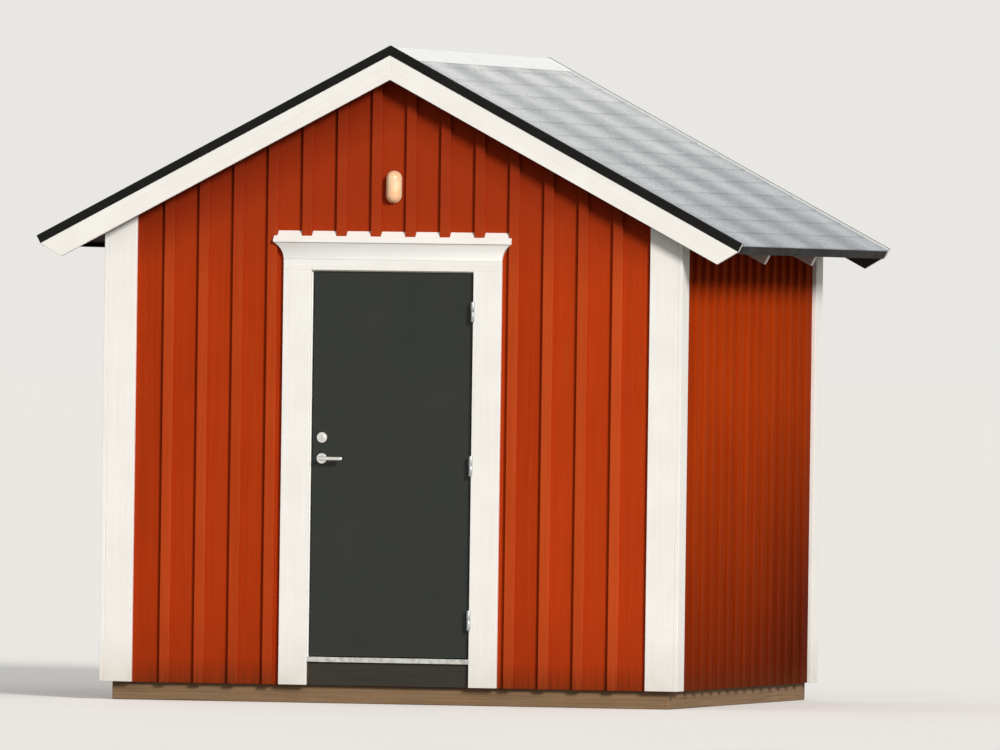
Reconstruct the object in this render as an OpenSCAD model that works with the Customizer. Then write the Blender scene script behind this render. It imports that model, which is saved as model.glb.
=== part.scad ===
// Small red timber boathouse: one room, a pitched roof and one outward-opening door.
// Millimetres. X runs to the right, the front looks along -Y, Z is up.
// The origin is the middle of the plan, at the underside of the base beams.

/* [Body] */
// Width over the corner boards
body_w = 3000; // [2600:10:3600]
// Depth over the corner boards
body_d = 3000; // [2400:10:4200]
// Height of the side walls' top plates above the door frame
plate_up = 193; // [130:1:500]
// Thickness of the upright cladding boards
board_t = 22; // [18:1:28]
// Depth of the wall studs behind the boards
stud_t = 70; // [60:5:120]

/* [Base and floor] */
// Height of the base beams
base_h = 90; // [60:5:150]
// Width of the base beams
base_beam_w = 95; // [70:5:150]
// How far the base beams stand inside the floor frame
base_inset = 10; // [0:1:30]
// Height of the floor joists
joist_h = 95; // [70:5:145]
// Thickness of one joist
joist_t = 45; // [36:1:60]
// Number of bays between the joists
joist_bays = 5; // [3:1:8]
// Thickness of the floor boards
floor_t = 22; // [18:1:30]

/* [Roof] */
// Slope of the roof in degrees
pitch = 28; // [22:0.5:34]
// Depth of the rafters, square to the slope
rafter_h = 120; // [95:5:170]
// Thickness of the rafters and of the ridge beam
rafter_t = 45; // [36:1:60]
// Distance between the two rafter pairs
rafter_gap = 1000; // [700:10:1400]
// Depth of the ridge beam
ridge_h = 170; // [145:5:220]
// Thickness of the roof boarding
deck_t = 20; // [16:1:28]
// Thickness of the shingle layer
roofing_t = 8; // [5:1:14]
// Roof edge beyond the corner boards at the eaves
eave_out = 330; // [260:5:450]
// Rafter tails beyond the corner boards, at their top corner
tail_out = 235; // [120:5:240]
// Roof edge beyond the corner boards at the gables
gable_out = 100; // [60:5:300]

/* [Roof edge] */
// Depth of the bargeboards
barge_h = 150; // [120:5:195]
// Thickness of the bargeboards
barge_t = 22; // [18:1:34]
// Height of the bargeboards' top edge above the shingles
rim_h = 6; // [4:1:24]
// Thickness of the sheet metal
sheet_t = 2; // [1:0.5:3]
// Face height of the metal along the bargeboards
flash_face = 44; // [36:1:60]
// Width of the metal foot under the shingles along the gables
flash_foot = 60; // [40:5:90]
// Drop of the metal edge below the roof boarding at the eaves
drip_drop = 22; // [15:1:40]
// Width of the metal lip under the shingles at the eaves
drip_lip = 45; // [30:5:80]
// Width of each flank of the ridge cap
cap_flank = 125; // [90:5:160]

/* [Trim] */
// Width of the corner boards and the casings
trim_w = 145; // [120:5:170]
// Thickness of the corner boards and the casings
trim_t = 22; // [22:1:34]
// Distance between the cover battens of the cladding
clad_pitch = 179; // [150:1:210]
// Width of the cover battens
batten_w = 50; // [38:1:60]
// Thickness of the cover battens
batten_t = 22; // [15:1:22]
// Clearance of the crown round each batten
notch_gap = 2; // [1:0.5:4]

/* [Door crown] */
// Visible height of the plain head board under the crown
head_h = 52; // [40:1:80]
// Height of the hollow moulding
cove_h = 86; // [60:1:110]
// How far the crown flares past the casings at each end
crown_flare = 51; // [30:1:70]
// How far the cap stands out from the wall boards
cap_out = 46; // [40:1:60]
// Height of the cap's front edge
cap_edge = 10; // [6:1:20]
// Height of the sloping cap above its front edge
cap_rise = 49; // [35:1:70]

/* [Door] */
// Width over the door frame
frame_w = 890; // [790:10:990]
// Height over the door frame
frame_h = 1990; // [1900:10:2050]
// Thickness of the door frame round the leaf
jamb_t = 28; // [22:1:40]
// Extra thickness of the door stops
stop_t = 14; // [10:1:20]
// Height of the sill
sill_h = 25; // [20:1:40]
// Thickness of the door leaf
leaf_t = 45; // [36:1:54]
// Gap round the leaf
leaf_gap = 5; // [5:0.5:8]
// Gap between the leaf and the frame on the lock side
lock_gap = 9; // [9:0.5:14]
// How far the casings cover the frame
casing_lap = 24; // [20:1:26]

/* [Door fittings] */
// Radius of the hinge barrels
barrel_r = 9; // [8:0.5:9.5]
// Radius of the hinge pins
pin_r = 5.9; // [4:0.1:6.4]
// Radial clearance of the pins
pin_clear = 0.1; // [0.05:0.05:0.2]
// Height of one hinge
hinge_h = 100; // [80:5:130]
// Distance from the leaf's ends to the outer hinges
hinge_end = 190; // [120:10:300]
// Distance from the lock edge to the handle and the lock
backset = 50; // [45:1:70]
// Height of the handle above the floor
handle_up = 1022; // [950:1:1100]
// Distance from the handle up to the lock
lock_up = 105; // [90:1:130]
// Radius of the lever handle's bar
lever_r = 9.5; // [8:0.5:12]
// Length of the lever
lever_l = 120; // [100:1:140]
// How far the lever stands out from the leaf
lever_out = 52; // [45:1:65]
// Radius of the round plates behind the handle
rose_r = 26; // [24:0.5:30]
// Thickness of the round plates
rose_t = 8; // [6:0.5:12]
// Radius of the lock barrel
lock_r = 14; // [10:0.5:16]

/* [Lamp] */
// Height of the lamp's centre above the crown
lamp_up = 224; // [150:1:300]
// Width of the lamp glass
lamp_w = 73; // [60:1:110]
// Height of the lamp glass
lamp_h = 156; // [120:1:180]
// Rim of the lamp's base round the glass
lamp_rim = 3; // [2:1:10]
// Thickness of the lamp's base
lamp_base_t = 18; // [12:1:28]

/* [Hidden] */
$fn = 64;

// Overlap of a cutting shape past the face that it cuts
eps = 1;
// Clearance of the pieces that meet on a slope: at the roof boarding, the metal and the shingles
fit = 0.05;

// Planes of the walls, from the outside in
face_x = body_w / 2;
face_y = body_d / 2;
wall_x = face_x - trim_t;
wall_y = face_y - trim_t;
stud_x = wall_x - board_t;
stud_y = wall_y - board_t;
room_x = stud_x - stud_t;
room_y = stud_y - stud_t;

// Levels
joist_z = base_h;
deck_z = base_h + joist_h;
floor_z = deck_z + floor_t;
sill_z = floor_z + sill_h;
head_z = floor_z + frame_h;
plate_z = head_z + plate_up;

// Roof lines: the boarding's underside is the zero line square to the slope
boarding_apex = plate_z + room_x * tan(pitch) + rafter_h / cos(pitch);
shingle_n = deck_t + roofing_t;
rim_n = shingle_n + rim_h;
flash_n = rim_n + sheet_t;
roof_x = face_x + eave_out;
roof_y = face_y + gable_out;
roof_s = (roof_x - flash_n * sin(pitch)) / cos(pitch);
tail_s = (face_x + tail_out) / cos(pitch);
flash_y = roof_y + sheet_t;
rim_y = roof_y - barge_t;
fold_y = rim_y - sheet_t;
foot_y = rim_y - flash_foot;
cover_s = roof_s - sheet_t - fit;
lip_s = roof_s - drip_lip;
foot_n = deck_t + sheet_t;

// Door
jamb_x = frame_w / 2 - jamb_t;
stop_x = jamb_x - stop_t;
leaf_right = jamb_x - leaf_gap;
leaf_left = -jamb_x + lock_gap;
leaf_z = sill_z + leaf_gap;
leaf_top = head_z - jamb_t - leaf_gap;
leaf_out = -wall_y;
leaf_in = leaf_out + leaf_t;
stop_y = leaf_in + leaf_gap;
casing_x = frame_w / 2 - casing_lap;
casing_end = casing_x + trim_w;
casing_top = head_z - (jamb_t - 6);
crown_z = casing_top + head_h;
cap_z = crown_z + cove_h;
cap_top = cap_z + cap_edge + cap_rise;
crown_x = casing_end + crown_flare;
lamp_z = cap_top + lamp_up;

// Hinges
plate_sheet = 2.5;
hinge_x = jamb_x + barrel_r - 4;
hinge_y = -face_y - barrel_r - 1;
hinge_zs = [leaf_z + hinge_end, (leaf_z + leaf_top) / 2, leaf_top - hinge_end];
hinge_slack = 0.5;
plate_back = leaf_in - 8;

// Handle
handle_x = leaf_left + backset;
handle_z = floor_z + handle_up;
lock_z = handle_z + lock_up;
neck_gap = 0.3;
spindle_r = 6;
spindle_hole_r = spindle_r + 5;

// A point of the right-hand roof slope: s runs down the slope, n is square to it
function slope_pt(s, n) = [
    s * cos(pitch) + n * sin(pitch),
    boarding_apex - s * sin(pitch) + n * cos(pitch)
];
// Height of the line n above the boarding's underside, at the distance x from the ridge
function slope_z(x, n) = boarding_apex - x * tan(pitch) + n / cos(pitch);
// Places of the cover battens between x0 and x1: they stand evenly about the wall's middle
function batten_row(x0, x1) = [
    for (k = [ceil(x0 / clad_pitch - 0.5) : floor(x1 / clad_pitch - 0.5)]) (k + 0.5) * clad_pitch
];

// A plan-view block between two corners
module block(a, b) {
    translate(a) cube(b - a);
}

// A flat outline in the XZ plane, from y0 to y1
module along_y(y0, y1) {
    translate([0, y1, 0]) rotate([90, 0, 0]) linear_extrude(y1 - y0) children();
}

// A piece and its mirror image across the ridge line
module on_side(side) {
    if (side > 0) children();
    else mirror([1, 0, 0]) children();
}

// A piece at the front, or turned to the back
module at_end(back) {
    if (back) mirror([0, 1, 0]) children();
    else children();
}

// A layer of the right-hand slope between the heights n0 and n1, ridge to eave
module slope_layer(n0, n1, s1, y0, y1) {
    along_y(y0, y1) polygon([
        [0, slope_z(0, n0)], slope_pt(s1, n0), slope_pt(s1, n1), [0, slope_z(0, n1)]
    ]);
}

// A strip of the right-hand slope between the lengths s0 and s1
module slope_strip(n0, n1, s0, s1, y0, y1) {
    along_y(y0, y1) polygon([slope_pt(s0, n0), slope_pt(s1, n0), slope_pt(s1, n1), slope_pt(s0, n1)]);
}

// Base beams: a frame of four squared timbers on the ground
base_x = stud_x - base_inset;
base_y = stud_y - base_inset;
module base_end(back) {
    color("#8c7660") at_end(back)
        block([-base_x, -base_y, 0], [base_x, -base_y + base_beam_w, base_h]);
}
module base_side(side) {
    color("#8c7660") on_side(side) block(
        [base_x - base_beam_w, -base_y + base_beam_w, 0],
        [base_x, base_y - base_beam_w, base_h]
    );
}

// Floor frame: two rims, and the joists between them
module floor_rims() {
    color("#4a4038") for (back = [false, true]) at_end(back)
        block([-stud_x, -stud_y, joist_z], [stud_x, -stud_y + joist_t, deck_z]);
}
module floor_joists() {
    bay = (2 * stud_x - joist_t) / joist_bays;
    color("#4a4038") for (k = [0 : joist_bays]) {
        x0 = -stud_x + k * bay;
        block([x0, -stud_y + joist_t, joist_z], [x0 + joist_t, stud_y - joist_t, deck_z]);
    }
}
module floor_boards() {
    color("#a98f6c") block([-stud_x, -stud_y, deck_z], [stud_x, stud_y, floor_z]);
}

// Board that covers the floor's edge under the door
module threshold_board() {
    color("#3a382e") block([-frame_w / 2, -wall_y, base_h], [frame_w / 2, -stud_y, floor_z]);
}

// The space under the studs that the floor fills, inside the boards' skirt
module floor_space() {
    block([-stud_x, -stud_y, 0], [stud_x, stud_y, floor_z]);
}

// Space in front of the boards between the cover battens of a gable, which end at the corner boards
gable_end = wall_x - trim_w - batten_w / 2;
module gable_bays() {
    edges = [
        -wall_x - eps,
        for (x = batten_row(-gable_end, gable_end), side = [-1, 1]) x + side * batten_w / 2,
        wall_x + eps
    ];
    for (k = [0 : 2 : len(edges) - 2])
        block([edges[k], -wall_y - batten_t - eps, 0], [edges[k + 1], -wall_y, slope_z(0, 0)]);
}

// Front wall beside the doorway: studs on the floor, boards and battens hanging past its edge
module front_wall(side) {
    color("#b23a14") on_side(side) {
        difference() {
            block([frame_w / 2, -wall_y, base_h], [wall_x, -room_y, head_z]);
            floor_space();
        }
        for (x = batten_row(casing_end + batten_w / 2, gable_end)) block(
            [x - batten_w / 2, -wall_y - batten_t, base_h], [x + batten_w / 2, -wall_y, head_z]
        );
    }
}

// Outline of a gable above the height z0
module gable_outline(z0) {
    polygon([
        [-wall_x, z0], [wall_x, z0], [wall_x, slope_z(wall_x, -fit)],
        [0, slope_z(0, -fit)], [-wall_x, slope_z(wall_x, -fit)]
    ]);
}
module front_gable() {
    color("#b23a14") difference() {
        along_y(-wall_y - batten_t, -room_y) gable_outline(head_z);
        gable_bays();
        block(
            [-casing_end, -wall_y - batten_t - eps, 0],
            [casing_end, -wall_y, cap_z + cap_edge + notch_gap]
        );
    }
}
module back_wall() {
    color("#b23a14") at_end(true) difference() {
        along_y(-wall_y - batten_t, -room_y) gable_outline(base_h);
        gable_bays();
        floor_space();
    }
}

// Side wall: studs up to the plate, boards and battens up to the roof boarding, cut round the rafters
side_end = face_y - trim_w - batten_w / 2;
module side_batten(y) {
    out_x = wall_x + batten_t;
    along_y(y - batten_w / 2, y + batten_w / 2) polygon([
        [wall_x, base_h], [out_x, base_h], [out_x, slope_z(out_x, -fit)], [wall_x, slope_z(wall_x, -fit)]
    ]);
}
module side_wall(side) {
    color("#a63607") on_side(side) difference() {
        union() {
            along_y(-room_y, room_y) polygon([
                [room_x, floor_z], [stud_x, floor_z], [stud_x, base_h], [wall_x, base_h],
                [wall_x, slope_z(wall_x, -fit)], [stud_x, slope_z(stud_x, -fit)],
                [stud_x, plate_z], [room_x, plate_z]
            ]);
            for (y = batten_row(-side_end, side_end)) side_batten(y);
        }
        for (y = [-rafter_gap / 2, rafter_gap / 2]) rafter_solid(y);
    }
}

// One corner: a board on the gable and a board on the side wall, which covers its edge
module corner_boards(side, back) {
    inner_x = wall_x - trim_w;
    inner_y = face_y - trim_w;
    color("#faf3ea") on_side(side) at_end(back) {
        along_y(-face_y, -wall_y) polygon([
            [inner_x, base_h], [wall_x, base_h],
            [wall_x, slope_z(wall_x, -fit)], [inner_x, slope_z(inner_x, -fit)]
        ]);
        along_y(-face_y, -inner_y) polygon([
            [wall_x, base_h], [face_x, base_h],
            [face_x, slope_z(face_x, -fit)], [wall_x, slope_z(wall_x, -fit)]
        ]);
    }
}

// Ridge beam between the gables, its top cut to the slopes
module ridge_beam() {
    half = rafter_t / 2;
    color("#b59a74") along_y(-room_y, room_y) polygon([
        [-half, boarding_apex - ridge_h], [half, boarding_apex - ridge_h],
        [half, slope_z(half, -fit)], [0, slope_z(0, -fit)], [-half, slope_z(half, -fit)]
    ]);
}

// Rafter on the right-hand slope: plumb cut at the ridge, notch on the plate, square tail
module rafter_solid(y) {
    half = rafter_t / 2;
    along_y(y - rafter_t / 2, y + rafter_t / 2) polygon([
        [half, slope_z(half, -fit)], slope_pt(tail_s, -fit), slope_pt(tail_s, -rafter_h),
        [stud_x, slope_z(stud_x, -rafter_h)], [stud_x, plate_z], [room_x, plate_z],
        [half, slope_z(half, -rafter_h)]
    ]);
}
module rafter(side, y) {
    color("#b59a74") on_side(side) rafter_solid(y);
}

// Roof boarding between the bargeboards, and the shingles on it, which lap over the metal's feet
module roof_boards(side) {
    color("#6b5a48") on_side(side) slope_layer(0, deck_t, cover_s, -rim_y, rim_y);
}
module shingles(side) {
    color("#8d9297") on_side(side) difference() {
        slope_layer(deck_t + fit, shingle_n, roof_s, -fold_y, fold_y);
        slope_strip(deck_t - eps, foot_n + fit, lip_s - fit, roof_s + eps, -roof_y, roof_y);
        for (back = [false, true]) at_end(back)
            slope_layer(deck_t - eps, foot_n + fit, roof_s, -roof_y, -foot_y + fit);
    }
}

// Folded cap along the ridge, on the shingles
module ridge_cap() {
    color("#c9ccca") for (side = [-1, 1]) on_side(side)
        slope_layer(shingle_n + fit, shingle_n + sheet_t, cap_flank, -fold_y, fold_y);
}

// Bargeboard: from the rim down, plumb at the ridge and square at the eave
module bargeboard(side, back) {
    color("#faf3ea") on_side(side) at_end(back)
        slope_layer(rim_n - barge_h, rim_n, roof_s, -roof_y, -rim_y);
}

// Black metal over both bargeboards of a gable: face, top, inner fold, and a foot on the boarding
module barge_flashing(back) {
    color("#1d1d1b") at_end(back) for (side = [-1, 1]) on_side(side) {
        slope_layer(flash_n - flash_face, flash_n, roof_s, -flash_y, -roof_y);
        slope_layer(rim_n, flash_n, roof_s, -flash_y, -fold_y);
        slope_layer(deck_t + fit, flash_n, roof_s, -rim_y, -fold_y);
        slope_layer(deck_t, foot_n, cover_s, -rim_y, -foot_y);
    }
}

// Metal edge along an eave: a face over the boarding's end and a lip on the boarding
module eave_edge(side) {
    color("#1d1d1b") on_side(side) {
        slope_strip(-drip_drop, foot_n, roof_s - sheet_t, roof_s, -fold_y, fold_y);
        slope_strip(deck_t + fit, foot_n, lip_s, roof_s, -foot_y, foot_y);
    }
}

// Door frame: jambs and head with the stop that the leaf closes against
module door_jamb(side) {
    color("#f4efe6") on_side(side) {
        block([jamb_x, leaf_out, sill_z], [frame_w / 2, -room_y, head_z - jamb_t]);
        block([stop_x, stop_y, sill_z], [jamb_x, -room_y, head_z - jamb_t]);
    }
}
module door_head() {
    color("#f4efe6") {
        block([-frame_w / 2, leaf_out, head_z - jamb_t], [frame_w / 2, -room_y, head_z]);
        block([-stop_x, stop_y, head_z - jamb_t - stop_t], [stop_x, -room_y, head_z - jamb_t]);
    }
}

// Sill under the frame, with a nosing between the casings
module door_sill() {
    nosing = 16;
    color("#c4c6c4") {
        block([-frame_w / 2, leaf_out, floor_z], [frame_w / 2, -room_y, sill_z]);
        block([-casing_x, leaf_out - nosing, floor_z], [casing_x, leaf_out, sill_z]);
    }
}

// Casings beside and over the doorway
module casing(side) {
    color("#faf3ea") on_side(side)
        block([casing_x, -face_y, base_h], [casing_end, -wall_y, casing_top]);
}
module casing_head() {
    color("#faf3ea") block([-casing_end, -face_y, casing_top], [casing_end, -wall_y, crown_z]);
}

// Room round a cover batten from the height z0 up, and round those that pass the crown's ends
module batten_room(x, z0) {
    half = batten_w / 2 + notch_gap;
    block([x - half, -wall_y - batten_t - notch_gap, z0], [x + half, -wall_y + eps, cap_top + eps]);
}
module outer_batten_room() {
    for (x = batten_row(casing_end, crown_x + batten_w), side = [-1, 1]) batten_room(side * x, crown_z - eps);
}

// Crown moulding: a hollow along the front, returned at both flared ends
module crown_moulding() {
    front = cap_out - 6;
    rise = front - trim_t;
    flare_r = (crown_flare * crown_flare + cove_h * cove_h) / (2 * crown_flare);
    front_r = (rise * rise + cove_h * cove_h) / (2 * rise);
    color("#eeece6") difference() {
        intersection() {
            along_y(-wall_y - front, -wall_y) difference() {
                translate([-crown_x, crown_z]) square([2 * crown_x, cove_h]);
                for (side = [-1, 1]) translate([side * (casing_end + flare_r), crown_z])
                    circle(r = flare_r, $fn = 256);
            }
            translate([-crown_x, 0, 0]) rotate([90, 0, 90]) linear_extrude(2 * crown_x) difference() {
                translate([-wall_y - front, crown_z]) square([front, cove_h]);
                translate([-face_y - front_r, crown_z]) circle(r = front_r, $fn = 256);
            }
        }
        outer_batten_room();
    }
}

// Sloping cap of the crown, cut out round the cover battens
module crown_cap() {
    color("#faf3ea") difference() {
        translate([-crown_x, 0, 0]) rotate([90, 0, 90]) linear_extrude(2 * crown_x) polygon([
            [-wall_y - cap_out, cap_z], [-wall_y, cap_z], [-wall_y, cap_top],
            [-wall_y - cap_out, cap_z + cap_edge]
        ]);
        for (x = batten_row(-casing_end, casing_end)) batten_room(x, cap_z + cap_edge);
        outer_batten_room();
    }
}

// Lift-off hinges: the lower halves with their pins stay on the frame
module hinges_frame_side() {
    half = (hinge_h - hinge_slack) / 2;
    color("#8f9294") for (z = hinge_zs) translate([0, 0, z - hinge_h / 2]) {
        translate([hinge_x, hinge_y, 0]) cylinder(r = barrel_r, h = half);
        translate([hinge_x, hinge_y, half]) cylinder(r = pin_r, h = half - 10);
        block([jamb_x - plate_sheet, hinge_y, 0], [jamb_x, plate_back, half]);
    }
}

// The upper halves turn with the leaf
module hinges_leaf_side() {
    half = (hinge_h - hinge_slack) / 2;
    color("#8f9294") for (z = hinge_zs) translate([0, 0, z + hinge_slack / 2]) {
        difference() {
            translate([hinge_x, hinge_y, 0]) cylinder(r = barrel_r, h = half);
            translate([hinge_x, hinge_y, -eps]) cylinder(r = pin_r + pin_clear, h = half - 8 + eps);
        }
        difference() {
            block([leaf_right, hinge_y, 0], [leaf_right + plate_sheet, plate_back, half]);
            translate([hinge_x, hinge_y, -eps]) cylinder(r = barrel_r - 1, h = half + 2 * eps);
        }
    }
}

// Flush door leaf, bored for the lock and the handle's spindle
module door_leaf() {
    color("#363734") difference() {
        block([leaf_left, leaf_out, leaf_z], [leaf_right, leaf_in, leaf_top]);
        through_leaf(handle_z, spindle_hole_r);
        through_leaf(lock_z, lock_r + neck_gap);
    }
}
module through_leaf(z, r) {
    translate([handle_x, leaf_in + eps, z]) rotate([90, 0, 0]) cylinder(r = r, h = leaf_t + 2 * eps);
}

// A round plate on either face of the leaf
module face_plates(z, bore_r) {
    for (y = [leaf_out, leaf_in + rose_t]) translate([handle_x, y, z]) rotate([90, 0, 0])
        difference() {
            cylinder(r = rose_r, h = rose_t);
            translate([0, 0, -eps]) cylinder(r = bore_r, h = rose_t + 2 * eps);
        }
}
module handle_plates() {
    color("#c8c9c7") face_plates(handle_z, lever_r + neck_gap);
}

// Lock: a barrel through the leaf, its round plates, the key slot and the thumb turn
module lock() {
    proud = rose_t + 4;
    key_w = 3;
    key_h = 12;
    turn = [8, 16, 26];
    color("#c8c9c7") {
        difference() {
            translate([handle_x, leaf_in + proud, lock_z]) rotate([90, 0, 0])
                cylinder(r = lock_r, h = leaf_t + 2 * proud);
            translate([handle_x - key_w / 2, leaf_out - proud - eps, lock_z - key_h / 2])
                cube([key_w, proud, key_h]);
        }
        face_plates(lock_z, lock_r - eps);
        translate([handle_x - turn[0] / 2, leaf_in + proud, lock_z - turn[2] / 2]) cube(turn);
    }
}

// Lever handle: spindle through the leaf and a bent bar on either face
module lever_handle() {
    color("#c8c9c7") {
        translate([handle_x, leaf_in, handle_z]) rotate([90, 0, 0]) cylinder(r = spindle_r, h = leaf_t);
        for (out = [-1, 1]) {
            y0 = out < 0 ? leaf_out : leaf_in;
            y1 = y0 + out * lever_out;
            translate([handle_x, max(y0, y1), handle_z]) rotate([90, 0, 0])
                cylinder(r = lever_r, h = lever_out);
            translate([handle_x, y1, handle_z]) sphere(r = lever_r);
            translate([handle_x, y1, handle_z]) rotate([0, 90, 0])
                cylinder(r = lever_r, h = lever_l - lever_r);
            translate([handle_x + lever_l - lever_r, y1, handle_z]) sphere(r = lever_r);
        }
    }
}

// Lamp: an oval base on the gable boards and a rounded glass on it
module oval(w, h) {
    for (z = [-1, 1]) translate([0, z * (h - w) / 2]) circle(d = w);
    square([w, h - w], center = true);
}
module lamp_base() {
    color("#efe9dc") translate([0, -wall_y, lamp_z]) rotate([90, 0, 0])
        linear_extrude(lamp_base_t) oval(lamp_w + 2 * lamp_rim, lamp_h + 2 * lamp_rim);
}
module lamp_glass() {
    straight = lamp_h - lamp_w;
    color("#fbe6c4") translate([0, -wall_y - lamp_base_t, lamp_z]) intersection() {
        union() {
            for (z = [-1, 1]) translate([0, 0, z * straight / 2]) sphere(d = lamp_w);
            translate([0, 0, -straight / 2]) cylinder(d = lamp_w, h = straight);
        }
        block([-lamp_w, -lamp_w, -lamp_h], [lamp_w, 0, lamp_h]);
    }
}

base_end(false);  // base_front
base_end(true);  // base_back
base_side(-1);  // base_left
base_side(1);  // base_right
floor_rims();
floor_joists();
floor_boards();
threshold_board();
front_wall(-1);  // front_wall_left
front_wall(1);  // front_wall_right
front_gable();
back_wall();
side_wall(-1);  // left_wall
side_wall(1);  // right_wall
corner_boards(-1, false);  // corner_boards_front_left
corner_boards(1, false);  // corner_boards_front_right
corner_boards(-1, true);  // corner_boards_back_left
corner_boards(1, true);  // corner_boards_back_right
ridge_beam();
rafter(-1, -rafter_gap / 2);  // rafter_front_left
rafter(1, -rafter_gap / 2);  // rafter_front_right
rafter(-1, rafter_gap / 2);  // rafter_back_left
rafter(1, rafter_gap / 2);  // rafter_back_right
roof_boards(-1);  // roof_boards_left
roof_boards(1);  // roof_boards_right
shingles(-1);  // shingles_left
shingles(1);  // shingles_right
ridge_cap();
bargeboard(-1, false);  // bargeboard_front_left
bargeboard(1, false);  // bargeboard_front_right
bargeboard(-1, true);  // bargeboard_back_left
bargeboard(1, true);  // bargeboard_back_right
barge_flashing(false);  // barge_flashing_front
barge_flashing(true);  // barge_flashing_back
eave_edge(-1);  // eave_edge_left
eave_edge(1);  // eave_edge_right
door_jamb(-1);  // door_jamb_left
door_jamb(1);  // door_jamb_right
door_head();
door_sill();
casing(-1);  // casing_left
casing(1);  // casing_right
casing_head();
crown_moulding();
crown_cap();
hinges_frame_side();
lamp_base();
lamp_glass();
door_leaf();
hinges_leaf_side();
lock();
handle_plates();
lever_handle();
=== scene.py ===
# %% [markdown]
# A red timber boathouse, dressed for a render.
#
# The construction comes from a CAD model that is loaded as a fixed frame, in metres. X runs to the
# right, the front looks along -Y and Z is up. In the CAD a wall or a slope of the roof is one to three
# solids, where the real hut has hundreds of boards, battens and shingles. This script puts those in
# and gives every surface a finish.

# %% Load the frame
import math

import bmesh
import bpy
from mathutils import Matrix, Vector


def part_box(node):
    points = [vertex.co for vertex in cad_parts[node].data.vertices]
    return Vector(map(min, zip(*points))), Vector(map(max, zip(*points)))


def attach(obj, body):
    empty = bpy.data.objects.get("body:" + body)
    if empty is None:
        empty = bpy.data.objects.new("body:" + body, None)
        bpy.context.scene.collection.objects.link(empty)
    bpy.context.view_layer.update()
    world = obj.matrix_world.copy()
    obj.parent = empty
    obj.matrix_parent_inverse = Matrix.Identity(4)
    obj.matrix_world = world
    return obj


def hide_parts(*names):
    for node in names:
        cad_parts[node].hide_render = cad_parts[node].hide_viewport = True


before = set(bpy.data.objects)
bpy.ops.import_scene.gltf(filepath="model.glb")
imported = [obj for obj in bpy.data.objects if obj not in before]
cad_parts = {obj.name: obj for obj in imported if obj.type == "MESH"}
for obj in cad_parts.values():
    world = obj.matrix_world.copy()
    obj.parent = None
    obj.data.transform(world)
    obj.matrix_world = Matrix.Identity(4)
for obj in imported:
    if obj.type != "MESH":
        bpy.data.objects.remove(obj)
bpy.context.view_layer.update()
scene = bpy.context.scene
MM = 0.001

# %% [markdown]
# Sizes that many pieces share.
#
# They could be typed in again, but then they'd drift from the CAD. So each plane and level is read
# from the box of the node that carries it, and only the sizes that no box tells, such as the width of
# a cover batten, are written here.

# %% Planes, levels and the roof line
PITCH = math.radians(28)
TAN, COS, SIN = math.tan(PITCH), math.cos(PITCH), math.sin(PITCH)
WALL = -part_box("threshold_board")[0].y
STUD = -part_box("threshold_board")[1].y
FACE = -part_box("casing_left")[0].y
BOARD_T = WALL - STUD
STUD_T = 70 * MM
ROOM = STUD - STUD_T
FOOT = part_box("front_wall_left")[0].z
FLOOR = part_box("floor_boards")[1].z
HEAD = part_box("front_gable")[0].z
PLATE = HEAD + 193 * MM
ROOF_BOARD_T = 20 * MM
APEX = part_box("roof_boards_right")[1].z - ROOF_BOARD_T / COS
ROOF_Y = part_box("roof_boards_right")[1].y
FRAME_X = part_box("door_head")[1].x
CASING_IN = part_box("casing_right")[0].x
CASING_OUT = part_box("casing_right")[1].x
CROWN_LOW, CROWN_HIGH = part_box("crown_cap")
SPACING = 179 * MM
BATTEN_W = 50 * MM
print("wall", WALL, "face", FACE, "foot", FOOT, "floor", FLOOR, "head", HEAD, "apex", APEX)

# %% [markdown]
# Helpers for nodes and colours.
#
# Shader trees and Geometry Nodes trees are both built from nodes, so one function adds any node with
# its settings and its links. A node's full type is its family and its kind, as in ShaderNodeMath, and
# the function finds the family by itself. Inputs can go in the order in which the node shows its
# sockets, as in the editor, so a Math node reads like a small sum. A second function turns a colour as
# it is written on a paint card, in sRGB hex, into the linear numbers that the renderer works with.


# %% One node, one colour
def paint(code):
    """An sRGB hex colour as linear RGBA."""
    parts = [int(code[i : i + 2], 16) / 255 for i in (0, 2, 4)]
    return (*(p / 12.92 if p <= 0.04045 else ((p + 0.055) / 1.055) ** 2.4 for p in parts), 1.0)


def add(tree, kind, inputs=(), **settings):
    """Adds a node of a kind, such as Math, with its settings and its inputs.

    Inputs are a dict by socket name, or a list in the order of the sockets that the node shows. Each
    is a value, a hex colour, an output, a node, which stands for its first output, or None to skip it.
    """
    families = ("ShaderNode", "GeometryNode", "FunctionNode", "")
    node = tree.nodes.new(next(f + kind for f in families if hasattr(bpy.types, f + kind)))
    for name, value in settings.items():
        setattr(node, name, value)
    if isinstance(inputs, dict):
        pairs = [(node.inputs[name], value) for name, value in inputs.items()]
    else:
        shown = [socket for socket in node.inputs if socket.enabled]
        pairs = [pair for pair in zip(shown, inputs) if pair[1] is not None]
    for socket, value in pairs:
        if isinstance(value, bpy.types.Node):
            value = next(output for output in value.outputs if output.enabled)
        if isinstance(value, bpy.types.NodeSocket):
            tree.links.new(value, socket)
        elif socket.type == "RGBA" and isinstance(value, str):
            socket.default_value = paint(value)
        else:
            socket.default_value = value
    return node


print("a mid grey in linear numbers:", [round(p, 3) for p in paint("808080")])

# %% [markdown]
# How a material starts and ends.
#
# Every finish on this hut ends the same way: a relief pattern goes through a Bump node, which bends the
# light as if the surface had that relief, and the principled shader takes it with the colour. Sockets
# that are the same all over get a plain number.


# %% Start and end of a material
def new_material(name):
    """An empty material and its tree."""
    made = bpy.data.materials.new(name)
    made.use_nodes = True
    made.node_tree.nodes.clear()
    return made, made.node_tree


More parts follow.
